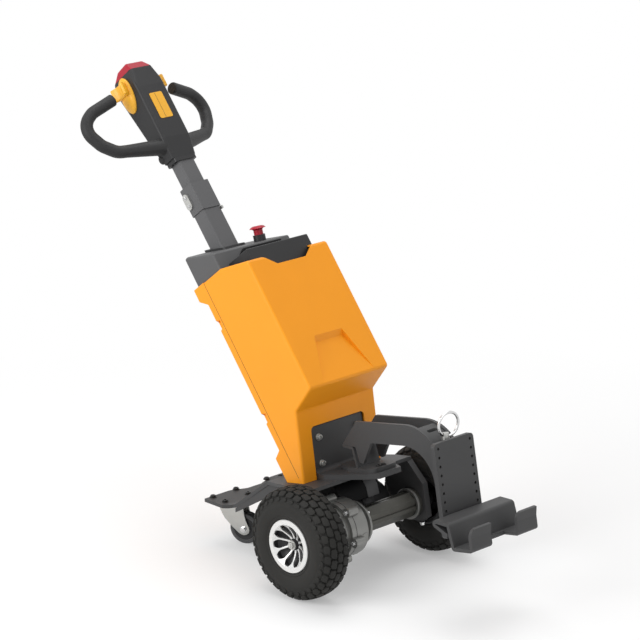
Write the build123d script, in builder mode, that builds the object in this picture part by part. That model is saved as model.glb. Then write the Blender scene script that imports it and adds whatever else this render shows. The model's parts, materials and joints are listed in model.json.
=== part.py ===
"""Walk-behind electric tug: two driven wheels, two rear casters, a leaning body and a tow hook.

The tug is drawn as it parks, resting on all four wheels.  X points forward to the hook, Y to
the left, Z up, and the origin is on the floor at the middle of the overall length and width.
"""

import os
from math import cos, radians, sin, tan

from build123d import *

os.makedirs("parts", exist_ok=True)

# Frames.  The chassis deck tips back by deck_tilt while the casters are down, and the body
# leans back over it.  Each side frame has its local x forward and its local y upward.
axle_x = 197.9
wheel_r = 130.0
deck_tilt = 10.7
body_lean = 38.3
mast_lean = 39.0
mast_root_x = -616.0
mast_root_rise = 727.6
body_drop = 130.0


def side_frame(x, z, tilt):
    """A frame in the middle plane, at x ahead of the axle and z above the floor."""
    return Plane(
        origin=(axle_x + x, 0, z),
        x_dir=(cos(radians(tilt)), 0, sin(radians(tilt))),
        z_dir=(0, -1, 0),
    )


def at_y(frame, y):
    """The side frame moved sideways to y."""
    return frame.offset(-y)


def across(frame, forward):
    """The plane across a side frame at a distance along its forward axis; local x is Y."""
    return Plane(
        origin=frame.from_local_coords((forward, 0, 0)),
        x_dir=(0, 1, 0),
        z_dir=frame.x_dir,
    )


def level(frame, height):
    """The plane across a side frame at a height along its upward axis; local y is Y."""
    return Plane(
        origin=frame.from_local_coords((0, height, 0)),
        x_dir=frame.x_dir,
        z_dir=frame.y_dir,
    )


road = side_frame(0, 0, 0)
deck = side_frame(0, wheel_r, deck_tilt)
body = side_frame(0, wheel_r - body_drop, body_lean)
mast = side_frame(mast_root_x, wheel_r + mast_root_rise, mast_lean)

# Deck and caster plate: one bent sheet.
sheet_t = 8.0
deck_top = 107.6
deck_front = 3.3
deck_rear = -175.0
deck_half_w = 129.0
ear_half_w = 160.0
ear_len = 72.0
pad_top = 111.0
pad_rear = -394.0
pad_front = -312.0
pad_half_w = 144.0
pad_chamfer = 18.0
ramp_bend_r = 55.0
crest_bend_r = 20.0
rear_notch = 18.0
rear_notch_half_w = 24.0
rear_notch_mouth = 62.0
rear_notch_r = 30.0
skirt_t = 8.0
skirt_foot = 97.0
skirt_knee_x = -210.0
skirt_knee_z = 154.0
skirt_front = -158.0

# Drive wheels.
wheel_y = 212.0
tyre_w = 84.0
tyre_bead_r = 61.0
tyre_shoulder = 26.0
rim_r = 60.0
rim_bore_r = 48.0
rim_ring_proud = 38.0
rim_w = 66.0
spoke_count = 10
hub_r = 19.0
hub_bore_r = 10.0
shaft_gap = 0.3
seat_gap = 0.3

# Casters.
caster_x = -367.0
caster_y = 86.0
caster_trail = 40.0
caster_heading = 23.0
caster_r = 37.5
caster_w = 25.0
caster_plate_l = 62.0
caster_plate_w = 92.0
caster_plate_t = 3.0
caster_bolt_x = 42.0
caster_bolt_y = 73.0
caster_bolt_r = 4.2
race_r = 23.0
race_t = 9.0
fork_t = 2.5
fork_inner_w = 29.0
king_r = 6.0
pin_r = 4.0

# Side brackets, gearbox, axle tube and motor.
bracket_inset = 14.0
bracket_y = ear_half_w - bracket_inset
bracket_t = 10.0
bracket_lip = 17.0
bracket_front = 42.0
bracket_low = -34.0
tube_flat = 56.0
tube_start = -34.0
tube_ring_r = 34.0
tube_ring_t = 10.0
gear_r = 66.0
gear_split = -98.0
gear_outer = -145.7
gear_lug_r = 70.0
lug_r = 11.0
lug_count = 6
lug_start = -20.0
motor_x = -98.0
motor_z = 112.0
motor_r = 55.0
motor_end = 122.0

# Mast bracket: a thick bent plate, upright wall and floor.
wall_t = 12.0
wall_front = -60.6
wall_top = 228.0
wall_half_w = 82.0
floor_front = 96.0
floor_half_w = 48.0
floor_nose_half_w = 34.0
floor_nose = 26.0

# Tow bracket.
flange_t = 10.0
flange_front = 85.0
flange_rear = -46.0
flange_half_w = 41.0
arm_t = 8.0
arm_y = 31.0
arm_top = 237.0
arm_under = 189.3
arm_back_top = 42.0
arm_back_low = -11.5
arm_back_low_z = 181.0
arm_outer_r = 104.5
arm_inner_r = 85.0
arm_leg_back = 268.0
arm_foot = 2.0
leg_tip_z = 142.0
leg_tip_x = 37.0
leg_tip_w = 12.0
leg_top_x = 30.0
leg_front_x = 81.8
rise_t = 6.0
tow_face = 308.4
tow_t = 12.0
tow_top = 205.0
tow_low = -8.0
tow_half_w = 62.0
tow_hole_y = 50.5
tow_hole_r = 3.3
tow_hole_top = 192.8
tow_pitch = 20.0
tow_hole_count = 10
saddle_t = 8.0
saddle_slot_x = 246.0
saddle_slot_l = 30.0
saddle_slot_w = 8.0

# Hook: one bent plate, with two lips.
hook_t = 8.0
hook_half_w = 105.0
hook_fold_x = 280.0
hook_fold_z = 55.0
hook_bend = 9.0
hook_back_t = 14.0
hook_end_x = 354.0
hook_end_z = 13.0
hook_ridge = 365.0
hook_ridge_z = 43.0
hook_web = 373.0
hook_floor = -18.0
hook_front = 428.0
hook_lip_top = 36.0
hook_flare = 4.4
lip_gap = 84.0
lip_corner = 15.0

# Pin and ring.
pin_x = 284.0
lock_pin_r = 6.0
pin_head_r = 9.0
pin_head_h = 16.0
pin_eye = 210.0
ring_r = 27.4
ring_wire_r = 3.2
ring_turn = 82.0
ring_lean = 20.0

# Covers, in the body frame.
cover_half_w = 125.0
cover_wall = 4.0
cover_front = 239.0
seam = 71.0
cover_top = 747.5
cover_top_front = 719.0
top_break = 140.0
nose_a = 392.0
under_n = 160.0
under_a = 370.0
foot_a = 212.0
back_low = 190.0
back_side = 52.4
back_mid = 22.0
back_mid_half_w = 90.0
block_side = 29.0
block_mid = 10.0
block_mid_half_w = 104.0
head_block_low = 717.0
head_block_slope = 18.5
foot_block_top = 311.0
foot_block_slope = 10.8
notch_floor = 65.0
notch_mouth_h = 26.0
notch_floor_h = 17.5
notch_len = 22.0
notch_places = (402.3, 643.3)
recess_floor = 695.0
recess_half_w = 45.0
recess_top_half_w = 80.0
recess_shoulder = 722.0
recess_corner = 10.0
window_corner = 10.0
scoop_top = 508.0
scoop_top_half_w = 42.0
scoop_low_half_w = 80.0
scoop_depth = 10.0
scoop_fall = 13.0
scoop_low = 396.0

# Top housing, inner box and battery, in the body frame.
housing_half_w = cover_half_w - 5
housing_front = 138.0
housing_side_rear = 43.0
housing_mid_rear = 14.0
housing_mid_half_w = 90.0
housing_low = cover_top + seat_gap
housing_top_front = 787.5
housing_slope = 21.0
housing_r = 5.0
stop_n = 105.0
stop_y = 60.0
stop_collar_r = 14.5
stop_collar_h = 15.0
stop_stem_r = 11.0
stop_stem_h = 13.0
stop_cap_r = 19.5
stop_cap_h = 8.0
box_rear = 144.0
box_front = 220.2
box_top = 753.0
box_half_w = cover_half_w - 30
battery_low = 397.0
battery_top = 700.0
battery_n0 = 84.0
battery_n1 = 221.0
battery_half_w = cover_half_w - 13

# Mast, in its own frame: lengths run up the mast from the foot of the head.
mast_w = 55.0
mast_d = 42.0
mast_wall = 3.0
slide_gap = 0.3
mast_edge = 7.0
mast_hole_low = -400.0
base_socket_d = 78.0
base_socket_w = 68.0
base_socket_h = 5.0
sleeve_low = -134.0
sleeve_high = -64.0
sleeve_wall = 2.5
clamp_x = -10.0
clamp_at = -98.0
clamp_l = 40.0
clamp_w = 20.0
clamp_t = 4.0
upper_low = -290.0
column_low = -860.0
column_top = -80.0
head_socket = 34.0

# Head of the handle, in the mast frame.
head_half_w = 42.0
head_low = 8.0
head_front = 24.0
head_root_half_w = 36.0
head_top_half_w = 27.0
head_edge_r = 7.0
loop_sweep = 18.0
loop_r = 15.0
loop_bend = 40.0
loop_root_r = 20.0
loop_cap_r = 4.0
head_top = 274.0
cap_split = head_top - 24
lever_n = -20.0
lever_a = 200.0
lever_l = 98.0
lever_w = 46.0
lever_t = 12.0
lever_tilt = 8.0
wing_reach = 26.0
wing_rise = 22.0
wing_low = 2.0
wing_high = 30.0
loop_root_len = 96.0


def save(builder, name):
    """Label a finished piece and write it to its own file."""
    builder.part.label = name
    export_step(builder.part, f"parts/{name}.step")


sides = (("right", -1), ("left", 1))


# Deck: the flat deck, the ramp down behind it and the level caster plate, bent from one sheet.
def deck_point(d1, d3):
    """A point of the deck frame in the road frame."""
    return road.to_local_coords(deck.from_local_coords((d1, d3, 0)))


front_edge = deck_point(deck_front, deck_top)
rear_bend = deck_point(deck_rear, deck_top)
with BuildPart() as base_plate:
    with BuildSketch(road):
        with BuildLine():
            FilletPolyline(
                (front_edge.X, front_edge.Y),
                (rear_bend.X, rear_bend.Y),
                (pad_front, pad_top),
                (pad_rear - 10, pad_top),
                radius=(crest_bend_r, ramp_bend_r),
            )
            offset(amount=sheet_t, side=Side.LEFT)
        make_face()
    extrude(amount=ear_half_w, both=True)
    with BuildSketch(Plane.XY):
        with Locations((axle_x, 0)):
            Polygon(
                (pad_rear, pad_half_w),
                (pad_front - pad_chamfer - 4, pad_half_w),
                (pad_front, deck_half_w),
                (rear_bend.X, deck_half_w + 2),
                (-ear_len, ear_half_w),
                (-14, ear_half_w),
                (4, ear_half_w - 24),
                (4, -ear_half_w + 24),
                (-14, -ear_half_w),
                (-ear_len, -ear_half_w),
                (rear_bend.X, -deck_half_w - 2),
                (pad_front, -deck_half_w),
                (pad_front - pad_chamfer - 4, -pad_half_w),
                (pad_rear, -pad_half_w),
                (pad_rear, -rear_notch_mouth),
                (pad_rear + rear_notch, -rear_notch_half_w),
                (pad_rear + rear_notch, rear_notch_half_w),
                (pad_rear, rear_notch_mouth),
                align=None,
            )
        fillet([v for v in vertices() if abs(v.Y) < rear_notch_mouth + 1], rear_notch_r)
    extrude(amount=400, mode=Mode.INTERSECT)
    for side, sign in sides:
        with BuildSketch(at_y(road, sign * (deck_half_w - skirt_t))):
            with BuildLine():
                Polyline(
                    (pad_front + 8, skirt_foot),
                    (pad_front + 8, pad_top - sheet_t / 2),
                    (rear_bend.X, rear_bend.Y - sheet_t),
                    (skirt_front, deck_point(skirt_front, deck_top).Y - sheet_t / 2 + 4),
                    (skirt_front, skirt_knee_z),
                    (skirt_knee_x, skirt_knee_z),
                    close=True,
                )
            make_face()
        extrude(amount=-sign * skirt_t)
    with BuildSketch(Plane.XY):
        with Locations((axle_x + caster_x, caster_y), (axle_x + caster_x, -caster_y)):
            with GridLocations(caster_bolt_x, caster_bolt_y, 2, 2):
                Circle(caster_bolt_r)
    extrude(amount=pad_top + 5, mode=Mode.SUBTRACT)
save(base_plate, "base_plate")

# Side brackets: upright plates under the deck, with a lip folded outward along the front edge.
bracket_top = deck_top - sheet_t
for side, sign in sides:
    with BuildPart() as bracket:
        with BuildSketch(at_y(deck, sign * bracket_y)):
            with BuildLine():
                Polyline(
                    (-78, bracket_top),
                    (2, bracket_top),
                    (bracket_front, 47),
                    (bracket_front, bracket_low),
                    (bracket_front - 12, bracket_low - 8),
                    (-bracket_front, bracket_low - 8),
                    (-78, 40),
                    close=True,
                )
            make_face()
            Circle(hub_r + 6, mode=Mode.SUBTRACT)
        extrude(amount=-sign * bracket_t)
        with BuildSketch(at_y(deck, sign * bracket_y)):
            with BuildLine():
                Polyline(
                    (2, bracket_top),
                    (bracket_front, 47),
                    (bracket_front, bracket_low),
                    (bracket_front - 8, bracket_low),
                    (bracket_front - 8, 44.6),
                    (-9, bracket_top),
                    close=True,
                )
            make_face()
        extrude(amount=-sign * bracket_lip)
    save(bracket, f"{side}_bracket")

# Axle tube: an eight-sided extrusion with a round flange against the left bracket.
with BuildPart() as axle_tube:
    with BuildSketch(at_y(deck, tube_start)):
        RegularPolygon(tube_flat / 2, 8, major_radius=False, rotation=22.5)
        with PolarLocations(tube_flat / 2, 4):
            Rectangle(6, 5, mode=Mode.SUBTRACT)
        Circle(hub_bore_r + shaft_gap, mode=Mode.SUBTRACT)
    extrude(amount=-(bracket_y - tube_ring_t - tube_start))
    with BuildSketch(at_y(deck, bracket_y)):
        Circle(tube_ring_r)
        Circle(hub_bore_r + shaft_gap, mode=Mode.SUBTRACT)
    extrude(amount=tube_ring_t)
save(axle_tube, "axle_tube")

# Gearbox: a split casing around the axle, reaching back to the motor, with bolted lugs.
motor_at = deck.to_local_coords(Vector(axle_x + motor_x, 0, motor_z))
with BuildPart() as gearbox:
    with BuildSketch(at_y(deck, gear_split + 36)):
        with Locations((0, 0)):
            Circle(gear_r)
        with Locations((motor_at.X, motor_at.Y)):
            Circle(motor_r + 3)
        with BuildLine():
            Polyline(
                (0, gear_r),
                (motor_at.X, motor_at.Y + motor_r + 3),
                (motor_at.X, motor_at.Y - motor_r - 3),
                (0, -gear_r),
                close=True,
            )
        make_face()
    extrude(amount=50)
    with BuildSketch(at_y(deck, gear_split + 14)):
        with PolarLocations(gear_lug_r, lug_count, start_angle=lug_start):
            Circle(lug_r)
    extrude(amount=28)
    with BuildSketch(at_y(deck, gear_outer)):
        Circle(gear_r - 8)
    extrude(amount=-(gear_split - 14 - gear_outer))
    with BuildSketch(at_y(deck, gear_split + 36)):
        Circle(gear_r - 4)
    extrude(amount=-28, taper=44)
    with BuildSketch(at_y(deck, gear_split + 36)):
        with Locations((motor_at.X, motor_at.Y)):
            Circle(motor_r + seat_gap)
    extrude(amount=-30, mode=Mode.SUBTRACT)
    with BuildSketch(at_y(deck, gear_outer - 1)):
        Circle(hub_bore_r + shaft_gap)
    extrude(amount=-(tube_start - gear_outer + 2), mode=Mode.SUBTRACT)
save(gearbox, "gearbox")

# Drive motor: a black cylinder behind the axle tube, with a bright band.
with BuildPart() as motor:
    with BuildSketch(at_y(deck, gear_split + 36)):
        with Locations((motor_at.X, motor_at.Y)):
            Circle(motor_r)
    extrude(amount=-(motor_end - gear_split - 36))
save(motor, "motor")

# Drive shaft stubs turn with the wheels, so each belongs to its hub.
def wheel_plane(sign):
    """The upright plane through a drive wheel's axis; local x is Y and local y is Z."""
    return Plane(origin=(axle_x, sign * wheel_y, wheel_r), x_dir=(0, 1, 0), z_dir=(1, 0, 0))


half_w = tyre_w / 2
bead_w = rim_w / 2
for side, sign in sides:
    wheel_axis = Axis((axle_x, 0, wheel_r), (0, 1, 0))
    with BuildPart() as tyre:
        with BuildSketch(wheel_plane(sign)):
            with BuildLine():
                Polyline((-bead_w, tyre_bead_r), (bead_w, tyre_bead_r))
                ThreePointArc((bead_w, tyre_bead_r), (half_w, 88), (half_w - 3, 108))
                ThreePointArc((half_w - 3, 108), (tyre_shoulder + 8, 120), (tyre_shoulder, 126))
                ThreePointArc((tyre_shoulder, 126), (0, wheel_r), (-tyre_shoulder, 126))
                ThreePointArc((-tyre_shoulder, 126), (-tyre_shoulder - 8, 120), (3 - half_w, 108))
                ThreePointArc((3 - half_w, 108), (-half_w, 88), (-bead_w, tyre_bead_r))
            make_face()
        revolve(axis=wheel_axis)
    save(tyre, f"{side}_tyre")

    # Rim: a rolled ring around a dished disc with a ring of openings between its spokes.
    proud = sign * rim_ring_proud
    with BuildPart() as rim:
        with BuildSketch(wheel_plane(sign)):
            with BuildLine():
                Polyline(
                    (-bead_w * sign, rim_bore_r + 2),
                    (-bead_w * sign, rim_r),
                    (proud, rim_r),
                    (proud, rim_bore_r + 2),
                    (proud - 3 * sign, rim_bore_r),
                    (proud - 8 * sign, rim_bore_r),
                    (proud - 26 * sign, hub_r),
                    (proud - 32 * sign, hub_r),
                    (proud - 14 * sign, rim_bore_r),
                    close=True,
                )
            make_face()
        revolve(axis=wheel_axis)
        with BuildSketch(at_y(road, sign * (wheel_y + 60))):
            with Locations((0, wheel_r)):
                with PolarLocations(0, spoke_count):
                    Polygon((27, 2.5), (43, 7.5), (43, -7.5), (27, -2.5), align=None)
        extrude(amount=sign * 80, mode=Mode.SUBTRACT)
    save(rim, f"{side}_rim")

    # Hub: the dark centre of the wheel with its nut, and the shaft that drives it.
    with BuildPart() as hub:
        with BuildSketch(at_y(road, sign * (wheel_y + rim_ring_proud - 24))):
            with Locations((0, wheel_r)):
                Circle(hub_r - seat_gap)
        extrude(amount=sign * 30)
        with BuildSketch(at_y(road, sign * (wheel_y + rim_ring_proud - 54))):
            with Locations((0, wheel_r)):
                Circle(hub_bore_r)
        extrude(amount=sign * (wheel_y + rim_ring_proud - 54 - 40))
    save(hub, f"{side}_hub")

# Casters: a plate with its bearing race, a fork that swivels under it, and a small wheel.
pad_under = pad_top - sheet_t
race_low = pad_under - caster_plate_t - race_t
crown_top = race_low - slide_gap
for side, sign in sides:
    swivel = Plane(
        origin=(axle_x + caster_x, sign * caster_y, 0),
        x_dir=(cos(radians(caster_heading)), sin(radians(caster_heading)), 0),
        z_dir=(0, 0, 1),
    )
    with BuildPart() as caster_plate:
        with BuildSketch(Plane.XY.offset(pad_under)):
            with Locations((axle_x + caster_x, sign * caster_y)):
                RectangleRounded(caster_plate_l, caster_plate_w, 6)
                with GridLocations(caster_bolt_x, caster_bolt_y, 2, 2):
                    Circle(caster_bolt_r, mode=Mode.SUBTRACT)
        extrude(amount=-caster_plate_t)
        with BuildSketch(Plane.XY.offset(pad_under - caster_plate_t)):
            with Locations((axle_x + caster_x, sign * caster_y)):
                Circle(race_r)
        extrude(amount=-race_t)
        with BuildSketch(Plane.XY.offset(race_low)):
            with Locations((axle_x + caster_x, sign * caster_y)):
                Circle(king_r + 0.05)
        extrude(amount=race_t + caster_plate_t, mode=Mode.SUBTRACT)
    save(caster_plate, f"{side}_caster_plate")

    fork_side = Plane(origin=swivel.origin, x_dir=swivel.x_dir, z_dir=-swivel.y_dir)
    with BuildPart() as fork:
        with BuildSketch(fork_side):
            with BuildLine():
                Polyline(
                    (-19, crown_top),
                    (22, crown_top),
                    (caster_trail + 13, caster_r + 6),
                    (caster_trail + 8, caster_r - 9),
                    (caster_trail - 8, caster_r - 9),
                    (caster_trail - 14, caster_r + 4),
                    close=True,
                )
            make_face()
        extrude(amount=fork_inner_w / 2 + fork_t, both=True)
        with BuildSketch(fork_side):
            with BuildLine():
                Polyline(
                    (-40, crown_top - fork_t),
                    (70, crown_top - fork_t),
                    (70, 0),
                    (-40, 0),
                    close=True,
                )
            make_face()
        extrude(amount=fork_inner_w / 2, both=True, mode=Mode.SUBTRACT)
        with BuildSketch(fork_side):
            with Locations((caster_trail, caster_r)):
                Circle(pin_r)
        extrude(amount=fork_inner_w / 2 + fork_t + 4, both=True)
        with BuildSketch(swivel.offset(crown_top - fork_t)):
            Circle(king_r)
        extrude(amount=fork_t + slide_gap + race_t + caster_plate_t - 1)
        with BuildSketch(swivel.offset(crown_top - fork_t)):
            Circle(race_r - 2)
        extrude(amount=fork_t)
    save(fork, f"{side}_caster_fork")

    with BuildPart() as caster_core:
        with BuildSketch(fork_side):
            with Locations((caster_trail, caster_r)):
                Circle(caster_r - 9)
        extrude(amount=caster_w / 2 - 1, both=True)
        with BuildSketch(fork_side):
            with Locations((caster_trail, caster_r)):
                Circle(13)
        extrude(amount=fork_inner_w / 2 - 0.5, both=True)
        with BuildSketch(fork_side):
            with Locations((caster_trail, caster_r)):
                Circle(pin_r + 0.05)
        extrude(amount=fork_inner_w, both=True, mode=Mode.SUBTRACT)
    save(caster_core, f"{side}_caster_core")

    with BuildPart() as caster_tyre:
        with BuildSketch(fork_side):
            with Locations((caster_trail, caster_r)):
                Circle(caster_r)
                Circle(caster_r - 9, mode=Mode.SUBTRACT)
        extrude(amount=caster_w / 2, both=True)
        round_edges = caster_tyre.edges().filter_by(GeomType.CIRCLE)
        fillet(round_edges.filter_by(lambda e: e.radius > caster_r - 1), 4)
    save(caster_tyre, f"{side}_caster_tyre")

# Mast bracket: a thick plate bent to an upright wall and a floor that narrows to its nose.
with BuildPart() as mast_bracket:
    with BuildSketch(deck):
        with BuildLine():
            FilletPolyline(
                (wall_front - wall_t, wall_top),
                (wall_front - wall_t, deck_top),
                (floor_front, deck_top),
                radius=24,
            )
            offset(amount=wall_t, side=Side.LEFT)
        make_face()
    extrude(amount=wall_half_w, both=True)
    with BuildSketch(level(deck, deck_top)):
        Polygon(
            (wall_front - wall_t, wall_half_w),
            (wall_front + 24, wall_half_w),
            (floor_front - floor_nose, floor_half_w),
            (floor_front, floor_nose_half_w),
            (floor_front, -floor_nose_half_w),
            (floor_front - floor_nose, -floor_half_w),
            (wall_front + 24, -wall_half_w),
            (wall_front - wall_t, -wall_half_w),
            align=None,
        )
    extrude(amount=wall_top, mode=Mode.INTERSECT)
save(mast_bracket, "mast_bracket")

# Tow flange: the foot of the tow bracket, flat on the mast bracket's floor.
flange_low = deck_top + wall_t
flange_top = flange_low + flange_t
with BuildPart() as tow_flange:
    with BuildSketch(level(deck, flange_low)):
        Polygon(
            (flange_rear, 20),
            (0, flange_half_w),
            (flange_front, flange_half_w),
            (flange_front, -flange_half_w),
            (0, -flange_half_w),
            (flange_rear, -20),
            align=None,
        )
    extrude(amount=flange_t)
    fillet(tow_flange.edges().filter_by(lambda e: abs(e.length - flange_t) < 0.01), 18)
save(tow_flange, "tow_flange")

# Tow arms: two flat plates that reach over the flange and curve down to the tow plate.
tow_back = tow_face - tow_t - seat_gap
arc_x = tow_back + 3 - arm_outer_r
arc_z = arm_top - arm_outer_r
arc_end = 13.3
arc_mid = (90 + arc_end) / 2
inner_x = arm_leg_back - arm_inner_r
inner_z = arm_under - arm_inner_r
for side, sign in sides:
    with BuildPart() as tow_arm:
        with BuildSketch(at_y(deck, sign * (arm_y - arm_t / 2))):
            with BuildLine():
                Polyline(
                    (arc_x, arm_top),
                    (arm_back_top, arm_top),
                    (arm_back_low, arm_back_low_z),
                    (leg_top_x, 177),
                    (leg_tip_x, leg_tip_z),
                    (leg_tip_x + leg_tip_w, leg_tip_z - 2),
                    (leg_front_x, arm_under),
                    (inner_x, arm_under),
                )
                RadiusArc((inner_x, arm_under), (arm_leg_back, inner_z), arm_inner_r)
                Polyline(
                    (arm_leg_back, inner_z),
                    (arm_leg_back, arm_foot),
                    (arc_x + arm_outer_r * cos(radians(arc_end)), arm_foot),
                    (
                        arc_x + arm_outer_r * cos(radians(arc_end)),
                        arc_z + arm_outer_r * sin(radians(arc_end)),
                    ),
                )
                ThreePointArc(
                    (
                        arc_x + arm_outer_r * cos(radians(arc_end)),
                        arc_z + arm_outer_r * sin(radians(arc_end)),
                    ),
                    (
                        arc_x + arm_outer_r * cos(radians(arc_mid)),
                        arc_z + arm_outer_r * sin(radians(arc_mid)),
                    ),
                    (arc_x, arm_top),
                )
            make_face()
        extrude(amount=-sign * arm_t)
    save(tow_arm, f"{side}_tow_arm")

# Rise plate: a bent strip that carries the arms' back ends from the flange.
with BuildPart() as rise_plate:
    with BuildSketch(deck):
        with BuildLine():
            FilletPolyline(
                (arm_back_low, arm_back_low_z - 0.1),
                (22, 177.3),
                (30, flange_top),
                radius=8,
            )
            offset(amount=rise_t, side=Side.RIGHT)
        make_face()
    extrude(amount=arm_y + arm_t / 2, both=True)
    with BuildSketch(deck):
        with Locations((0, flange_top - 50)):
            Rectangle(200, 100)
    extrude(amount=arm_y + arm_t, both=True, mode=Mode.SUBTRACT)
save(rise_plate, "rise_plate")

# Saddle: a curved bridge between the arms, behind the tow plate, bored for the lock pin.
saddle_top_r = arm_outer_r - 3
saddle_half_w = arm_y - arm_t / 2
with BuildPart() as saddle:
    with BuildSketch(deck):
        with BuildLine():
            CenterArc((arc_x, arc_z), saddle_top_r, 20, 52)
            CenterArc((arc_x, arc_z), saddle_top_r - saddle_t, 20, 52)
            Line(
                (
                    arc_x + saddle_top_r * cos(radians(20)),
                    arc_z + saddle_top_r * sin(radians(20)),
                ),
                (
                    arc_x + (saddle_top_r - saddle_t) * cos(radians(20)),
                    arc_z + (saddle_top_r - saddle_t) * sin(radians(20)),
                ),
            )
            Line(
                (
                    arc_x + saddle_top_r * cos(radians(72)),
                    arc_z + saddle_top_r * sin(radians(72)),
                ),
                (
                    arc_x + (saddle_top_r - saddle_t) * cos(radians(72)),
                    arc_z + (saddle_top_r - saddle_t) * sin(radians(72)),
                ),
            )
        make_face()
    extrude(amount=saddle_half_w, both=True)
    with BuildSketch(level(deck, arm_foot)):
        with Locations((pin_x, 0)):
            Circle(lock_pin_r + seat_gap)
    extrude(amount=arm_top, mode=Mode.SUBTRACT)
    with BuildSketch(level(deck, arm_foot)):
        with Locations((saddle_slot_x, 0)):
            SlotOverall(saddle_slot_l, saddle_slot_w, rotation=90)
    extrude(amount=arm_top, mode=Mode.SUBTRACT)
save(saddle, "saddle")

# Tow plate: an upright plate with a column of holes along each edge.
with BuildPart() as tow_plate:
    with BuildSketch(Plane(
        origin=deck.from_local_coords((tow_face, (tow_top + tow_low) / 2, 0)),
        x_dir=(0, 1, 0),
        z_dir=deck.x_dir,
    )):
        RectangleRounded(tow_half_w * 2, tow_top - tow_low, 10)
        for row in range(tow_hole_count):
            with Locations((0, tow_hole_top - row * tow_pitch - (tow_top + tow_low) / 2)):
                with GridLocations(2 * tow_hole_y, 1, 2, 1):
                    Circle(tow_hole_r, mode=Mode.SUBTRACT)
    extrude(amount=-tow_t)
save(tow_plate, "tow_plate")

# Lock pin: it stands in the saddle, with an eye for the ring, which leans to the left.
ring_across = Vector(cos(radians(ring_turn)), sin(radians(ring_turn)), 0)
ring_spoke = ring_across * sin(radians(ring_lean)) + Vector(0, 0, cos(radians(ring_lean)))
ring_tangent = ring_across * cos(radians(ring_lean)) - Vector(0, 0, sin(radians(ring_lean)))
pin_low = arm_foot + 148
with BuildPart() as lock_pin:
    with BuildSketch(level(deck, pin_low)):
        with Locations((pin_x, 0)):
            Circle(lock_pin_r)
    extrude(amount=pin_eye + ring_wire_r + 3 - pin_low)
    with BuildSketch(level(deck, pin_eye + ring_wire_r + 3 - pin_head_h)):
        with Locations((pin_x, 0)):
            Circle(pin_head_r)
    extrude(amount=pin_head_h)
    eye = Plane(
        origin=deck.from_local_coords((pin_x, pin_eye, 0)),
        x_dir=ring_spoke,
        z_dir=ring_tangent,
    )
    with BuildSketch(eye):
        Circle(ring_wire_r + 1.5)
    extrude(amount=20, both=True, mode=Mode.SUBTRACT)
save(lock_pin, "lock_pin")

ring_plane = Plane(
    origin=eye.origin + ring_spoke * (ring_r - 1.4),
    x_dir=ring_spoke,
    z_dir=ring_spoke.cross(ring_tangent),
)
with BuildPart(ring_plane) as pin_ring:
    Torus(ring_r, ring_wire_r)
save(pin_ring, "pin_ring")

# Hook: one bent plate.  A folded box section bears on the tow plate and a cradle opens upward.
def far_side(points, thickness):
    """The other face of a bent sheet whose first face runs through the points."""
    faces = []
    for start, end in zip(points, points[1:]):
        run = (Vector(*end) - Vector(*start)).normalized()
        faces.append((Vector(*start) + Vector(run.Y, -run.X) * thickness, run))
    turned = [faces[0][0]]
    for (here, run), (there, turn) in zip(faces, faces[1:]):
        gap = there - here
        step = (gap.X * turn.Y - gap.Y * turn.X) / (run.X * turn.Y - run.Y * turn.X)
        turned.append(here + run * step)
    last, run = faces[-1]
    turned.append(last + Vector(*points[-1]) - Vector(*points[-2]))
    return [(p.X, p.Y) for p in turned]


def corners_at(corners, places):
    """The corners that lie at the places."""
    return [v for v in corners for x, y in places if abs(v.X - x) + abs(v.Y - y) < 0.01]


hook_outside = (
    (hook_end_x, hook_end_z),
    (hook_fold_x, hook_fold_z),
    (hook_ridge, hook_ridge_z),
    (hook_web, hook_floor + hook_t),
    (hook_front - hook_t, hook_floor + hook_t),
    (hook_front - hook_t, hook_lip_top - 20),
    (hook_front - hook_t + hook_flare, hook_lip_top),
)
hook_inside = far_side(hook_outside, hook_t)
with BuildPart() as hook:
    with BuildSketch(deck):
        Polygon(*hook_outside, *reversed(hook_inside), align=None)
        outer_bends = hook_outside[1:3] + hook_outside[5:6] + tuple(hook_inside[3:5])
        fillet(corners_at(vertices(), outer_bends), hook_bend)
        inner_bends = tuple(hook_inside[1:3] + hook_inside[5:6]) + hook_outside[3:5]
        fillet(corners_at(vertices(), inner_bends), hook_bend - hook_t)
    extrude(amount=hook_half_w, both=True)
    with BuildSketch(across(deck, hook_web + 10)):
        Polygon(
            (-lip_gap / 2 - 3, hook_floor - 20),
            (-lip_gap / 2 - 3, hook_floor - 1),
            (-lip_gap / 2, hook_floor + 4),
            (-lip_gap / 2, hook_lip_top + 20),
            (lip_gap / 2, hook_lip_top + 20),
            (lip_gap / 2, hook_floor + 4),
            (lip_gap / 2 + 3, hook_floor - 1),
            (lip_gap / 2 + 3, hook_floor - 20),
            align=None,
        )
    extrude(amount=90, mode=Mode.SUBTRACT)
    for corner_y in (-hook_half_w, lip_gap / 2):
        with BuildSketch(across(deck, hook_front - hook_t - 15)):
            with Locations((corner_y + lip_corner / 2, hook_lip_top - lip_corner / 2 + 1)):
                Rectangle(lip_corner, lip_corner + 6)
            with Locations((corner_y + lip_corner, hook_lip_top - lip_corner)):
                Circle(lip_corner, mode=Mode.SUBTRACT)
            with Locations((corner_y + lip_corner / 2, hook_lip_top - lip_corner - 10)):
                Rectangle(lip_corner, 20, mode=Mode.SUBTRACT)
        extrude(amount=60, mode=Mode.SUBTRACT)
    with BuildSketch(deck):
        with Locations((tow_face + seat_gap + hook_back_t / 2, 21)):
            Rectangle(hook_back_t, 46)
    extrude(amount=55, both=True)
save(hook, "hook")

# Front cover: a moulded shell, open at the seam behind it, with a window for the mast bracket.
front_outline = (
    (seam, cover_top),
    (top_break, cover_top),
    (cover_front, cover_top_front),
    (cover_front, nose_a),
    (under_n, under_a),
    (seam, foot_a),
)

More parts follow.
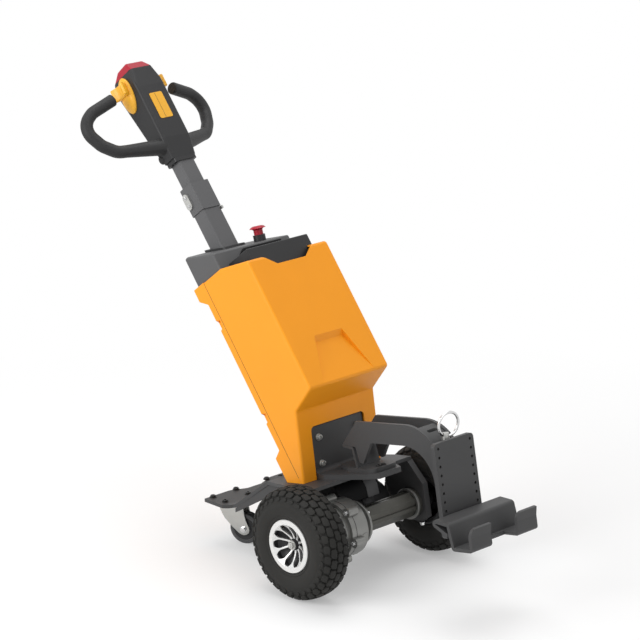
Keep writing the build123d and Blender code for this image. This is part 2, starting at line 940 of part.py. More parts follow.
def scoop_solid(skin):
    """The scoop's pocket, grown by a skin of material behind it."""
    with BuildPart() as pocket:
        with BuildSketch(body):
            with BuildLine():
                Polyline(
                    (cover_front + 1 - skin / 2, scoop_top + 1.3 + skin),
                    (cover_front - scoop_depth - skin, scoop_top - scoop_fall + skin),
                    (cover_front - skin, scoop_low),
                    (cover_front + 1 - skin / 2, scoop_low),
                    close=True,
                )
            make_face()
        extrude(amount=cover_half_w, both=True)
        with BuildSketch(across(body, cover_front - 40)):
            Polygon(
                (-scoop_top_half_w - skin, scoop_top + skin + 2),
                (scoop_top_half_w + skin, scoop_top + skin + 2),
                (scoop_low_half_w + skin, scoop_low),
                (-scoop_low_half_w - skin, scoop_low),
                align=None,
            )
            fillet([v for v in vertices() if v.Y > scoop_low + 1], 8)
        extrude(amount=60, mode=Mode.INTERSECT)
    return pocket


scoop = scoop_solid(0)
scoop_backing = scoop_solid(cover_wall)
with BuildPart() as front_cover:
    with BuildSketch(body):
        with BuildLine():
            Polyline(*front_outline, close=True)
        make_face()
        fillet([v for v in vertices() if v.X > seam + 80 or v.Y < 100], 9)
    extrude(amount=cover_half_w, both=True)
    side_faces = front_cover.faces().sort_by(Axis.Y)
    rims = [e for f in (side_faces[0], side_faces[-1]) for e in f.edges()]
    fillet([e for e in rims if body.to_local_coords(e.center()).X > seam + 1], 6)
    with BuildSketch(body):
        with BuildLine():
            Polyline(*front_outline, close=True)
        make_face()
        offset(amount=-cover_wall)
        with Locations((seam, (cover_top + foot_a) / 2)):
            Rectangle(2 * cover_wall + 2, cover_top - foot_a - 10)
    extrude(amount=cover_half_w - cover_wall, both=True, mode=Mode.SUBTRACT)
    add(scoop_backing.part)
    add(scoop.part, mode=Mode.SUBTRACT)
    with BuildSketch(across(deck, wall_front - 70)):
        with Locations((0, wall_top / 2 + 1.25)):
            RectangleRounded(2 * wall_half_w + 4, wall_top + 2.5, window_corner)
    extrude(amount=80, mode=Mode.SUBTRACT)
    with BuildSketch(body):
        with Locations((top_break + 40, cover_top - 20)):
            Rectangle(81, 60)
    extrude(amount=cover_half_w - 9, both=True, mode=Mode.SUBTRACT)
    with BuildSketch(across(body, cover_front - 20)):
        Polygon(
            (-recess_half_w, recess_floor),
            (recess_half_w, recess_floor),
            (recess_top_half_w, recess_shoulder),
            (recess_top_half_w, cover_top),
            (-recess_top_half_w, cover_top),
            (-recess_top_half_w, recess_shoulder),
            align=None,
        )
        fillet([v for v in vertices() if v.Y < recess_shoulder - 1], recess_corner)
    extrude(amount=30, mode=Mode.SUBTRACT)
    with BuildSketch(level(mast, mast_hole_low)):
        Rectangle(mast_d + 2, mast_w + 2)
    extrude(amount=200, mode=Mode.SUBTRACT)
    with BuildSketch(deck):
        with Locations((0, deck_top - 200)):
            Rectangle(600, 400 + 2 * seat_gap)
    extrude(amount=cover_half_w, both=True, mode=Mode.SUBTRACT)
save(front_cover, "front_cover")

# Rear cover: a shallow shell behind the seam, with a head and a foot block that stand proud
# and two finger notches in each slanted corner.
def rear_section(side_n, mid_n, mid_half_w, skin):
    """The rear cover's section across the body, inside a skin, from the seam to the back."""
    return (
        (seam - seat_gap + skin, cover_half_w - skin),
        (side_n + skin / 2, cover_half_w - skin),
        (mid_n + skin, mid_half_w - skin / 2),
        (mid_n + skin, skin / 2 - mid_half_w),
        (side_n + skin / 2, skin - cover_half_w),
        (seam - seat_gap + skin, skin - cover_half_w),
    )


def block_profiles(skin):
    """The side outlines of the head and foot blocks, inside a skin."""
    out = block_mid - 5
    head_low = head_block_low + skin
    foot_top = foot_block_top - skin
    run = back_side - block_side
    head_edge = head_low + head_block_slope * (block_side - out) / run
    foot_edge = foot_top - foot_block_slope * (block_side - out) / run
    head_inner = head_low - head_block_slope
    foot_inner = foot_top + foot_block_slope
    head = (
        (seam + 2, cover_top),
        (out, cover_top),
        (out, head_edge),
        (back_side, head_inner),
        (seam + 2, head_inner),
    )
    foot = (
        (seam + 2, back_low),
        (out, back_low),
        (out, foot_edge),
        (back_side, foot_inner),
        (seam + 2, foot_inner),
    )
    return head, foot


def rear_blocks(skin):
    """Both blocks as one part, inside a skin."""
    with BuildPart() as blocks:
        with BuildSketch(body):
            for outline in block_profiles(skin):
                Polygon(*outline, align=None)
        extrude(amount=cover_half_w, both=True)
        with BuildSketch(level(body, back_low)):
            Polygon(*rear_section(block_side, block_mid, block_mid_half_w, skin), align=None)
        extrude(amount=cover_top - skin - back_low, mode=Mode.INTERSECT)
    return blocks


def notch_tools(skin):
    """The finger notches at both sides, grown by a skin."""
    with BuildPart() as notches:
        for end in (-cover_half_w, cover_half_w):
            with BuildSketch(at_y(body, end)):
                for notch_a in notch_places:
                    Polygon(
                        (back_mid - 10, notch_a + notch_mouth_h / 2 + skin),
                        (back_side, notch_a + notch_mouth_h / 2 + skin),
                        (notch_floor + skin, notch_a + notch_floor_h / 2 + skin),
                        (notch_floor + skin, notch_a - notch_floor_h / 2 - skin),
                        (back_side, notch_a - notch_mouth_h / 2 - skin),
                        (back_mid - 10, notch_a - notch_mouth_h / 2 - skin),
                        align=None,
                    )
            extrude(amount=notch_len + skin, both=True)
    return notches


mid_section = rear_section(back_side, back_mid, back_mid_half_w, cover_wall)
inner_blocks = rear_blocks(cover_wall)
outer_blocks = rear_blocks(0)
grown_notches = notch_tools(cover_wall - 1)
notches = notch_tools(0)
with BuildPart() as rear_void:
    with BuildSketch(level(body, back_low)):
        Polygon(*mid_section, align=None)
    extrude(amount=cover_top - cover_wall - back_low)
    add(grown_notches.part, mode=Mode.SUBTRACT)
    add(inner_blocks.part)
with BuildPart() as rear_cover:
    with BuildSketch(level(body, back_low)):
        Polygon(*rear_section(back_side, back_mid, back_mid_half_w, 0), align=None)
    extrude(amount=cover_top - back_low)
    add(outer_blocks.part)
    add(notches.part, mode=Mode.SUBTRACT)
    add(rear_void.part, mode=Mode.SUBTRACT)
    with BuildSketch(level(mast, mast_hole_low)):
        Rectangle(mast_d + 2, mast_w + 2)
    extrude(amount=200, mode=Mode.SUBTRACT)
    with BuildSketch(deck):
        with Locations((0, deck_top - 200)):
            Rectangle(600, 400 + 2 * seat_gap)
    extrude(amount=cover_half_w, both=True, mode=Mode.SUBTRACT)
save(rear_cover, "rear_cover")

# Battery: the closed-in heavy mass, one plain block.
with BuildPart() as battery:
    with BuildSketch(body):
        with Locations(((battery_n0 + battery_n1) / 2, (battery_low + battery_top) / 2)):
            Rectangle(battery_n1 - battery_n0, battery_top - battery_low)
    extrude(amount=battery_half_w, both=True)
save(battery, "battery_block")

# Inner box: the black lid seen between the housing and the front cover.
with BuildPart() as inner_box:
    with BuildSketch(level(body, battery_top + seat_gap)):
        with Locations(((box_rear + box_front) / 2, 0)):
            Rectangle(box_front - box_rear, 2 * box_half_w)
    extrude(amount=box_top - battery_top - seat_gap)
    upper_edges = inner_box.edges().filter_by(
        lambda e: body.to_local_coords(e.center()).Y > box_top - 1
    )
    fillet(upper_edges.filter_by(lambda e: body.to_local_coords(e.center()).X > box_rear + 1), 3)
save(inner_box, "inner_box")

# Top housing: a hollow cap with a sloping top, slanted rear corners and a hole for the mast.
housing_rise = tan(radians(housing_slope))
with BuildPart() as top_housing:
    with BuildSketch(level(body, housing_low)):
        Polygon(
            (housing_front, housing_half_w),
            (housing_side_rear, housing_half_w),
            (housing_mid_rear, housing_mid_half_w),
            (housing_mid_rear, -housing_mid_half_w),
            (housing_side_rear, -housing_half_w),
            (housing_front, -housing_half_w),
            align=None,
        )
    extrude(amount=120)
    housing_peak = housing_top_front + (housing_front - housing_mid_rear) * housing_rise
    with BuildSketch(body):
        with BuildLine():
            Polyline(
                (housing_mid_rear, housing_low),
                (housing_front, housing_low),
                (housing_front, housing_top_front),
                (housing_mid_rear, housing_peak),
                close=True,
            )
        make_face()
    extrude(amount=housing_half_w, both=True, mode=Mode.INTERSECT)
    upper_edges = top_housing.edges().filter_by(
        lambda e: body.to_local_coords(e.center()).Y > housing_low + 1
    )
    fillet(upper_edges, housing_r)
    with BuildSketch(level(body, housing_low)):
        Polygon(
            (housing_front - 4, housing_half_w - 4),
            (housing_side_rear + 2, housing_half_w - 4),
            (housing_mid_rear + 4, housing_mid_half_w - 2),
            (housing_mid_rear + 4, 2 - housing_mid_half_w),
            (housing_side_rear + 2, 4 - housing_half_w),
            (housing_front - 4, 4 - housing_half_w),
            align=None,
        )
    extrude(amount=26, mode=Mode.SUBTRACT)
    with BuildSketch(level(mast, mast_hole_low)):
        Rectangle(mast_d + 2, mast_w + 2)
    extrude(amount=300, mode=Mode.SUBTRACT)
save(top_housing, "top_housing")

# Stop button: collar, stem and a wide thin-edged cap, square to the housing's sloping top.
lid_at = body.from_local_coords((stop_n, housing_top_front + (housing_front - stop_n) * housing_rise, 0))
lid = side_frame(lid_at.X - axle_x, lid_at.Z, body_lean - housing_slope)
with BuildPart() as stop_collar:
    with BuildSketch(level(lid, 0)):
        with Locations((0, stop_y)):
            Circle(stop_collar_r)
    extrude(amount=stop_collar_h)
save(stop_collar, "stop_collar")

stop_axis = Plane(
    origin=lid.from_local_coords((0, stop_collar_h, -stop_y)),
    x_dir=lid.x_dir,
    z_dir=lid.z_dir,
)
with BuildPart() as stop_button:
    with BuildSketch(stop_axis):
        with BuildLine():
            Polyline(
                (stop_cap_r - 3, stop_stem_h + 2.5),
                (stop_stem_r, stop_stem_h - 1),
                (stop_stem_r, 0),
                (0, 0),
                (0, stop_stem_h + stop_cap_h),
                (stop_stem_r - 2, stop_stem_h + stop_cap_h),
            )
            ThreePointArc(
                (stop_stem_r - 2, stop_stem_h + stop_cap_h),
                (stop_cap_r - 4, stop_stem_h + stop_cap_h - 2),
                (stop_cap_r, stop_stem_h + 2),
            )
            Line((stop_cap_r, stop_stem_h + 2), (stop_cap_r - 3, stop_stem_h + 2.5))
        make_face()
    revolve(axis=Axis(stop_axis.origin, lid.y_dir))
save(stop_button, "stop_button")

# Base socket: a low black collar on the housing around the foot of the mast.
with BuildPart() as base_socket:
    with BuildSketch(level(mast, mast_hole_low)):
        RectangleRounded(base_socket_d, base_socket_w, 12)
        Rectangle(mast_d + 2, mast_w + 2, mode=Mode.SUBTRACT)
    extrude(amount=300)
    with BuildSketch(lid):
        with Locations((0, base_socket_h / 2)):
            Rectangle(400, base_socket_h)
    extrude(amount=base_socket_w, both=True, mode=Mode.INTERSECT)
save(base_socket, "base_socket")

# Mast column: the outer tube and the spine plate that ties it to the mast bracket.
with BuildPart() as mast_column:
    with BuildSketch(level(mast, column_low)):
        Rectangle(mast_d, mast_w)
        chamfer(vertices(), mast_edge / 2)
        Rectangle(mast_d - 2 * mast_wall, mast_w - 2 * mast_wall, mode=Mode.SUBTRACT)
    extrude(amount=column_top - column_low)
    with BuildSketch(deck):
        with Locations((wall_front - wall_t - 5, (wall_top + deck_top) / 2 - 1)):
            Rectangle(10, wall_top - deck_top - 4)
    extrude(amount=wall_half_w - 4, both=True)
    with BuildSketch(deck):
        with Locations((0, deck_top - 200)):
            Rectangle(800, 400)
        with Locations((wall_front + 50 - wall_t, wall_top / 2)):
            Rectangle(100, wall_top + 100)
    extrude(amount=cover_half_w, both=True, mode=Mode.SUBTRACT)
save(mast_column, "mast_column")

# Mast sleeve: the clamp collar at the top of the column.
upper_w = mast_w - 2 * mast_wall - 2 * slide_gap
upper_d = mast_d - 2 * mast_wall - 2 * slide_gap
with BuildPart() as mast_sleeve:
    with BuildSketch(level(mast, sleeve_low)):
        Rectangle(mast_d + 2 * sleeve_wall, mast_w + 2 * sleeve_wall)
        chamfer(vertices(), mast_edge / 2)
    extrude(amount=sleeve_high - sleeve_low)
    with BuildSketch(level(mast, sleeve_low)):
        Rectangle(mast_d, mast_w)
    extrude(amount=column_top + 0.1 - sleeve_low, mode=Mode.SUBTRACT)
    with BuildSketch(level(mast, sleeve_low)):
        Rectangle(upper_d + 2 * slide_gap, upper_w + 2 * slide_gap)
    extrude(amount=200, mode=Mode.SUBTRACT)
save(mast_sleeve, "mast_sleeve")

with BuildPart() as clamp_plate:
    with BuildSketch(at_y(mast, -mast_w / 2 - sleeve_wall)):
        with Locations((clamp_x, clamp_at)):
            SlotOverall(clamp_l, clamp_w, rotation=90)
    extrude(amount=clamp_t)
save(clamp_plate, "clamp_plate")

# Upper mast: the tube that carries the head and slides in the column.
with BuildPart() as upper_mast:
    with BuildSketch(level(mast, upper_low)):
        Rectangle(upper_d, upper_w)
        chamfer(vertices(), mast_edge / 2)
        Rectangle(upper_d - 2 * mast_wall, upper_w - 2 * mast_wall, mode=Mode.SUBTRACT)
    extrude(amount=head_socket - upper_low)
save(upper_mast, "upper_mast")

# Head: a moulded shell, narrower at the top, with a socket for the mast.
head_profile = (
    (19, head_low),
    (head_front, 60),
    (head_front, 200),
    (21, head_top - 24),
    (5, head_top - 2),
    (-34, head_top - 4),
    (-60, head_top - 26),
    (-60, head_top - 49),
    (-49, 166),
    (-36, 94),
    (-22, head_low),
)
with BuildPart() as head_blank:
    with BuildSketch(mast):
        Polygon(*head_profile, align=None)
    extrude(amount=head_half_w, both=True)
    with BuildSketch(across(mast, 0)):
        Polygon(
            (-head_root_half_w, head_low),
            (-head_half_w, 50),
            (-head_half_w, head_top - 59),
            (-head_top_half_w, head_top),
            (head_top_half_w, head_top),
            (head_half_w, head_top - 59),
            (head_half_w, 50),
            (head_root_half_w, head_low),
            align=None,
        )
    extrude(amount=200, both=True, mode=Mode.INTERSECT)
    low_face = head_blank.faces().sort_by(lambda f: mast.to_local_coords(f.center()).Y)[0]
    fillet([e for e in head_blank.edges() if e not in low_face.edges()], head_edge_r)

with BuildPart() as head_shell:
    add(head_blank.part)
    with BuildSketch(mast):
        with Locations((0, cap_split + 50)):
            Rectangle(300, 100)
    extrude(amount=100, both=True, mode=Mode.SUBTRACT)
    with BuildSketch(level(mast, head_low)):
        Rectangle(upper_d + 2 * seat_gap, upper_w + 2 * seat_gap)
    extrude(amount=head_socket - head_low + seat_gap, mode=Mode.SUBTRACT)
save(head_shell, "head_shell")

# Belly button: the red cap over the top of the head that reverses the tug when it is pushed.
with BuildPart() as belly_button:
    add(head_blank.part)
    with BuildSketch(mast):
        with Locations((0, cap_split + seat_gap - 150)):
            Rectangle(300, 300)
    extrude(amount=100, both=True, mode=Mode.SUBTRACT)
save(belly_button, "belly_button")

with BuildPart() as head_collar:
    with BuildSketch(level(mast, head_low - seat_gap)):
        RectangleRounded(mast_d, 66, 8)
        Rectangle(upper_d + 2 * seat_gap, upper_w + 2 * seat_gap, mode=Mode.SUBTRACT)
    extrude(amount=-10)
save(head_collar, "head_collar")

panel_seat = mast.from_local_coords((head_front, 143.5, 0))
with BuildPart() as head_panel:
    with BuildSketch(Plane(origin=panel_seat, x_dir=(0, 1, 0), z_dir=mast.x_dir)):
        RectangleRounded(38, 68, 4)
    extrude(amount=1.2)
save(head_panel, "head_panel")

# Thumb levers: an oval disc on each side of the head, with two wings for the thumb.
lever_foot = head_half_w + seat_gap
for side, sign in sides:
    with BuildPart() as thumb_lever:
        with BuildSketch(at_y(mast, sign * lever_foot)):
            with Locations((lever_n, lever_a)):
                Ellipse(lever_w / 2, lever_l / 2, rotation=lever_tilt)
        extrude(amount=-sign * lever_t)
        with BuildSketch(level(mast, lever_a - wing_low)):
            with BuildLine():
                Polyline(
                    (lever_n - 14, sign * (lever_foot + 2)),
                    (lever_n - wing_reach, sign * (lever_foot + wing_rise)),
                    (lever_n - wing_reach + 6, sign * (lever_foot + wing_rise + 4)),
                )
                ThreePointArc(
                    (lever_n - wing_reach + 6, sign * (lever_foot + wing_rise + 4)),
                    (lever_n, sign * (lever_foot + lever_t + 4)),
                    (lever_n + wing_reach - 6, sign * (lever_foot + wing_rise + 4)),
                )
                Polyline(
                    (lever_n + wing_reach - 6, sign * (lever_foot + wing_rise + 4)),
                    (lever_n + wing_reach, sign * (lever_foot + wing_rise)),
                    (lever_n + 14, sign * (lever_foot + 2)),
                    (lever_n - 14, sign * (lever_foot + 2)),
                )
            make_face()
        extrude(amount=wing_high + wing_low)
    save(thumb_lever, f"{side}_thumb_lever")

# Handle loops: swept back from the sides of the head, open at the thumb levers.
loop_points = ((54, 197), (118, 182), (146, 162), (148, 132), (132, 98), (104, 71), (-12, 44.6))
for side, sign in sides:
    out = Vector(0, sign * cos(radians(loop_sweep)), 0) - mast.x_dir * sin(radians(loop_sweep))
    loop_plane = Plane(
        origin=mast.origin + Vector(0, sign * (head_half_w - 2), 0),
        x_dir=out,
        z_dir=out.cross(mast.y_dir),
    )
    with BuildPart() as handle:
        with BuildLine(loop_plane) as loop_path:
            FilletPolyline(*loop_points, radius=loop_bend)
        with BuildSketch(Plane(origin=loop_path.line @ 0, z_dir=loop_path.line % 0)):
            Circle(loop_r)
        sweep()
        tip = handle.faces().sort_by_distance(loop_path.line @ 0)[0]
        fillet(tip.edges(), loop_cap_r)
        root = Plane(origin=loop_path.line @ 1, z_dir=loop_path.line % 1)
        with BuildSketch(root):
            Circle(loop_root_r)
        with BuildSketch(root.offset(-loop_root_len)):
            Circle(loop_r)
        loft()
        add(head_blank.part, mode=Mode.SUBTRACT)
    save(handle, f"{side}_handle")
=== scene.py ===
# %% [markdown]
# # A walk-behind electric tug
# The tug's frame, covers, wheels and hook come from the imported CAD model.  This lesson dresses
# that model: it gives every part a finish, adds the tyre tread, the spokes, the screws, a strip
# of painted shadow under the housing's lip and the pressed and moulded parts, and sets up the
# camera and the studio.  Loading the frame first fixes where all the pieces sit, so nothing has
# to be fitted by eye later.

# %% Load the frame
import json
from math import cos, pi, radians, sin, sqrt

import bpy
from mathutils import Matrix, Vector


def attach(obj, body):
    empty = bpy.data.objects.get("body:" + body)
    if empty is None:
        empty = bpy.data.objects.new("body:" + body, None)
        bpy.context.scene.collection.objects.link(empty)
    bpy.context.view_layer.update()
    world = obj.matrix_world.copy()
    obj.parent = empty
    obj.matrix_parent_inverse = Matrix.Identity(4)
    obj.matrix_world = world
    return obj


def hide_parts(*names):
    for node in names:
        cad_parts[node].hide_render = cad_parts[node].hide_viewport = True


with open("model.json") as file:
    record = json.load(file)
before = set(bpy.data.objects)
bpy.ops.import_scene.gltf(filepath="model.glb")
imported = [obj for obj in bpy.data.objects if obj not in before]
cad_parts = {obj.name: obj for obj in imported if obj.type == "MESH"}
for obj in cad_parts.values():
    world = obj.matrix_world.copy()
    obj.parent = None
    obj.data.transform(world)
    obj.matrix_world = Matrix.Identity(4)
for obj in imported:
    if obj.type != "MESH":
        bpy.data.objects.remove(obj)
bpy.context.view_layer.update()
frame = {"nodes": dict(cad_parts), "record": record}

# %% [markdown]
# ## Where things are
# The chassis tips back while it is parked, and the body and the mast lean over it.  Four
# planes carry nearly every piece, so the lesson works in them, as the CAD model does: the road
# and the deck start at the wheel axle, the body on the floor under it and the mast at its head.

# %% Tilted planes
MM = 0.001
AXLE_X = 0.1979
AXLE_HEIGHT = 0.130
AXLE = Vector((AXLE_X, 0.0, AXLE_HEIGHT))
FLOOR_UNDER_AXLE = Vector((AXLE_X, 0.0, 0.0))
MAST_ROOT = Vector((AXLE_X - 0.616, 0.0, 0.8576))


def tilted(origin, degrees):
    """A matrix whose x runs forward and z upward, tipped back by that angle."""
    turn = Matrix.Rotation(-radians(degrees), 4, "Y")
    return Matrix.Translation(origin) @ turn


ROAD = tilted(AXLE, 0.0)
DECK = tilted(AXLE, 10.7)
BODY = tilted(FLOOR_UNDER_AXLE, 38.3)
MAST = tilted(MAST_ROOT, 39.0)
print("deck forward", [round(v, 3) for v in DECK.to_3x3() @ Vector((1, 0, 0))])

# %% [markdown]
# ## The camera
# A long lens from far away keeps the sides of the covers nearly parallel, as a product
# photographer does.  The camera stands off the front right corner and looks down a little.  It
# is turned about a point over the axle, then shifted sideways and up to frame the whole tug.

# %% Camera
camera_data = bpy.data.cameras.new("studio_camera")
camera_data.lens = 159.13
camera_data.sensor_width = 36.0
camera_data.clip_end = 60.0
camera = bpy.data.objects.new("studio_camera", camera_data)
bpy.context.scene.collection.objects.link(camera)
bpy.context.scene.camera = camera

azimuth = radians(45.84)
elevation = radians(16.92)
roll = radians(-0.211)
distance = 6.3648
shift_right = -0.1069
shift_up = 0.1933
back = Vector((sin(azimuth) * cos(elevation), -cos(azimuth) * cos(elevation), sin(elevation)))
level_right = Vector((cos(azimuth), sin(azimuth), 0.0))
level_up = back.cross(level_right)
right = level_right * cos(roll) + level_up * sin(roll)
up = level_up * cos(roll) - level_right * sin(roll)
aim = Vector((AXLE_X, 0.0, 0.400))
place = aim + back * distance + right * shift_right + up * shift_up
turn = Matrix((right, up, back)).transposed().to_4x4()
camera.matrix_world = Matrix.Translation(place) @ turn
print("camera at", [round(v, 3) for v in place])

# %% [markdown]
# ## The studio
# Soft light from a white room, a broad lamp at the right side of the tug, a weak one before it
# and one overhead keep its side brighter than its front.  The floor and the room look white to
# the camera and to shiny surfaces, while the floor still takes a soft shadow near the tug.

# %% Room, lamps and floor
scene = bpy.context.scene
scene.view_settings.view_transform = "Standard"

room = bpy.data.worlds.new("white_room")
scene.world = room
room.use_nodes = True
nodes = room.node_tree.nodes
links = room.node_tree.links
nodes.clear()
light_path = nodes.new("ShaderNodeLightPath")
seen = nodes.new("ShaderNodeMath")
seen.operation = "MAXIMUM"
seen_all = nodes.new("ShaderNodeMath")
seen_all.operation = "MAXIMUM"
soft = nodes.new("ShaderNodeBackground")
soft.inputs["Color"].default_value = (1.0, 1.0, 1.0, 1.0)
soft.inputs["Strength"].default_value = 0.55
white = nodes.new("ShaderNodeBackground")
white.inputs["Color"].default_value = (1.0, 1.0, 1.0, 1.0)
white.inputs["Strength"].default_value = 1.0
mix = nodes.new("ShaderNodeMixShader")
out = nodes.new("ShaderNodeOutputWorld")
links.new(light_path.outputs["Is Camera Ray"], seen.inputs[0])
links.new(light_path.outputs["Is Glossy Ray"], seen.inputs[1])
links.new(seen.outputs[0], seen_all.inputs[0])
links.new(light_path.outputs["Is Transmission Ray"], seen_all.inputs[1])
links.new(seen_all.outputs[0], mix.inputs["Fac"])
links.new(soft.outputs[0], mix.inputs[1])
links.new(white.outputs[0], mix.inputs[2])
links.new(mix.outputs[0], out.inputs["Surface"])


def add_lamp(name, place, target, size, power):
    """A square soft lamp that looks at the target."""
    lamp = bpy.data.lights.new(name, "AREA")
    lamp.shape = "SQUARE"
    lamp.size = size
    lamp.energy = power
    holder = bpy.data.objects.new(name, lamp)
    scene.collection.objects.link(holder)
    aim_along = Vector(target) - Vector(place)
    holder.matrix_world = (
        Matrix.Translation(place) @ aim_along.to_track_quat("-Z", "Y").to_matrix().to_4x4()
    )


add_lamp("side_lamp", (-1.0, -4.2, 2.4), (0.0, 0.0, 0.5), 2.4, 120.0)
add_lamp("front_lamp", (4.2, -0.6, 2.6), (0.0, 0.0, 0.5), 2.4, 28.0)
add_lamp("top_lamp", (-0.6, 0.6, 4.4), (0.0, 0.0, 0.4), 3.0, 80.0)

bpy.ops.mesh.primitive_plane_add(size=24.0, location=(0.0, 0.0, 0.0))
floor = bpy.context.object
floor.name = "studio_floor"
floor_paint = bpy.data.materials.new("floor_paint")
floor_paint.use_nodes = True
nodes = floor_paint.node_tree.nodes
links = floor_paint.node_tree.links
nodes.clear()
paper = nodes.new("ShaderNodeBsdfDiffuse")
paper.inputs["Color"].default_value = (0.92, 0.92, 0.92, 1.0)
glow = nodes.new("ShaderNodeEmission")
glow.inputs["Color"].default_value = (1.0, 1.0, 1.0, 1.0)
glow.inputs["Strength"].default_value = 1.0
floor_place = nodes.new("ShaderNodeTexCoord")
away = nodes.new("ShaderNodeVectorMath")
away.operation = "LENGTH"
links.new(floor_place.outputs["Object"], away.inputs[0])
fade = nodes.new("ShaderNodeMapRange")
fade.inputs["From Min"].default_value = 0.7
fade.inputs["From Max"].default_value = 1.7
fade.inputs["To Min"].default_value = 0.3
fade.inputs["To Max"].default_value = 1.0
links.new(away.outputs["Value"], fade.inputs["Value"])
floor_path = nodes.new("ShaderNodeLightPath")
looked_at = nodes.new("ShaderNodeMath")
looked_at.operation = "MAXIMUM"
links.new(floor_path.outputs["Is Camera Ray"], looked_at.inputs[0])
links.new(floor_path.outputs["Is Glossy Ray"], looked_at.inputs[1])
share = nodes.new("ShaderNodeMath")
share.operation = "MULTIPLY"
links.new(fade.outputs["Result"], share.inputs[0])
links.new(looked_at.outputs[0], share.inputs[1])
mix = nodes.new("ShaderNodeMixShader")
out = nodes.new("ShaderNodeOutputMaterial")
links.new(share.outputs[0], mix.inputs["Fac"])
links.new(paper.outputs[0], mix.inputs[1])
links.new(glow.outputs[0], mix.inputs[2])
links.new(mix.outputs[0], out.inputs["Surface"])
floor.data.materials.append(floor_paint)

# %% [markdown]
# ## Finishes
# Every surface on the tug is a plain colour seen from a step away, and shows its process up
# close: grain in moulded plastic, orange peel in powder coat and pitting in castings.  One
# helper builds them all from two noises: a fine one for the bump and the gloss, and a broad one
# that varies the colour a little, so that no face is a single flat tone.

# %% Finish maker
FINISHES = {}


def make_finish(
    name, colour, roughness, metallic=0.0, grain=700.0, depth=0.00006, drift=0.06,
    drift_scale=6.0, sheen=0.0, specular=0.5,
):
    """A procedural finish.  Grain is in cells per metre and depth in metres."""
    paint = bpy.data.materials.new(name)
    paint.use_nodes = True
    tree = paint.node_tree
    shader = tree.nodes["Principled BSDF"]
    shader.inputs["Metallic"].default_value = metallic
    shader.inputs["Specular IOR Level"].default_value = specular
    shader.inputs["Sheen Weight"].default_value = sheen
    place_on = tree.nodes.new("ShaderNodeTexCoord")

    broad = tree.nodes.new("ShaderNodeTexNoise")
    broad.inputs["Scale"].default_value = drift_scale
    broad.inputs["Detail"].default_value = 4.0
    tree.links.new(place_on.outputs["Object"], broad.inputs["Vector"])
    tint = tree.nodes.new("ShaderNodeValToRGB")
    tint.color_ramp.elements[0].position = 0.3
    tint.color_ramp.elements[1].position = 0.7
    tint.color_ramp.elements[0].color = [c * (1.0 - drift) for c in colour] + [1.0]
    tint.color_ramp.elements[1].color = [min(1.0, c * (1.0 + drift)) for c in colour] + [1.0]
    tree.links.new(broad.outputs["Fac"], tint.inputs["Fac"])
    tree.links.new(tint.outputs["Color"], shader.inputs["Base Color"])

    fine = tree.nodes.new("ShaderNodeTexNoise")
    fine.inputs["Scale"].default_value = grain
    fine.inputs["Detail"].default_value = 3.0
    tree.links.new(place_on.outputs["Object"], fine.inputs["Vector"])
    gloss = tree.nodes.new("ShaderNodeMapRange")
    gloss.inputs["To Min"].default_value = max(0.05, roughness - 0.06)
    gloss.inputs["To Max"].default_value = min(1.0, roughness + 0.08)
    tree.links.new(fine.outputs["Fac"], gloss.inputs["Value"])
    tree.links.new(gloss.outputs["Result"], shader.inputs["Roughness"])
    bump = tree.nodes.new("ShaderNodeBump")
    bump.inputs["Strength"].default_value = 0.6
    bump.inputs["Distance"].default_value = depth
    tree.links.new(fine.outputs["Fac"], bump.inputs["Height"])
    tree.links.new(bump.outputs["Normal"], shader.inputs["Normal"])
    FINISHES[name] = paint


# %% [markdown]
# Most finishes bear the name of a material slot in the record, and the other four are variants.
# FINISH_FOR names the CAD nodes that wear a variant.  The colours are those of the clean parts in
# even light, except the near-black for the parts under the deck and the housing's lip, which is
# painted shade.

# %% The finishes
make_finish("orange_cover", (0.87, 0.315, 0.010), 0.4, grain=900.0, drift=0.03, specular=0.3)
make_finish("dark_steel", (0.045, 0.045, 0.046), 0.5, grain=520.0, depth=0.0001, drift=0.1,
            specular=0.4)
make_finish("grey_plastic", (0.074, 0.074, 0.076), 0.55, grain=800.0, depth=0.0001)
make_finish("black_plastic", (0.012, 0.012, 0.013), 0.45, grain=800.0, drift=0.12, specular=0.4)
make_finish("tyre_rubber", (0.016, 0.0155, 0.014), 0.74, grain=420.0, depth=0.00015, drift=0.25,
            specular=0.3)
make_finish("grey_rubber", (0.055, 0.055, 0.057), 0.6, grain=500.0, drift=0.1)
make_finish("grip_rubber", (0.013, 0.013, 0.0135), 0.6, grain=1100.0, depth=0.0001, sheen=0.05,
            specular=0.4)
make_finish("rim_alloy", (0.70, 0.70, 0.69), 0.36, metallic=0.5, grain=600.0, drift=0.05)
make_finish("cast_alloy", (0.24, 0.24, 0.23), 0.36, metallic=0.7, grain=260.0, depth=0.0003,
            drift=0.15)
make_finish("tube_alloy", (0.085, 0.083, 0.073), 0.36, metallic=0.6, grain=300.0, depth=0.0001,
            drift=0.2, drift_scale=12.0)
make_finish("zinc_steel", (0.50, 0.50, 0.48), 0.33, metallic=0.8, grain=300.0, drift=0.12)
make_finish("bright_steel", (0.66, 0.66, 0.66), 0.2, metallic=1.0, grain=300.0, depth=0.00002)
make_finish("black_oxide", (0.022, 0.022, 0.022), 0.4, metallic=0.4, grain=500.0)
make_finish("mast_paint", (0.085, 0.085, 0.088), 0.42, grain=520.0, depth=0.00008)
make_finish("red_plastic", (0.36, 0.008, 0.024), 0.36, grain=900.0, depth=0.00003, specular=0.3)
make_finish("yellow_plastic", (0.80, 0.40, 0.022), 0.38, grain=900.0, depth=0.00003)
make_finish("head_plastic", (0.019, 0.019, 0.02), 0.5, grain=900.0, depth=0.00006, drift=0.1,
            specular=0.35)
# Painted shade: a near-black, darker than the parts' own colour, for parts that sit in shadow
# under the deck and under the housing's lip.
make_finish("painted_shade_black", (0.004, 0.004, 0.0045), 0.6, grain=500.0, specular=0.15)
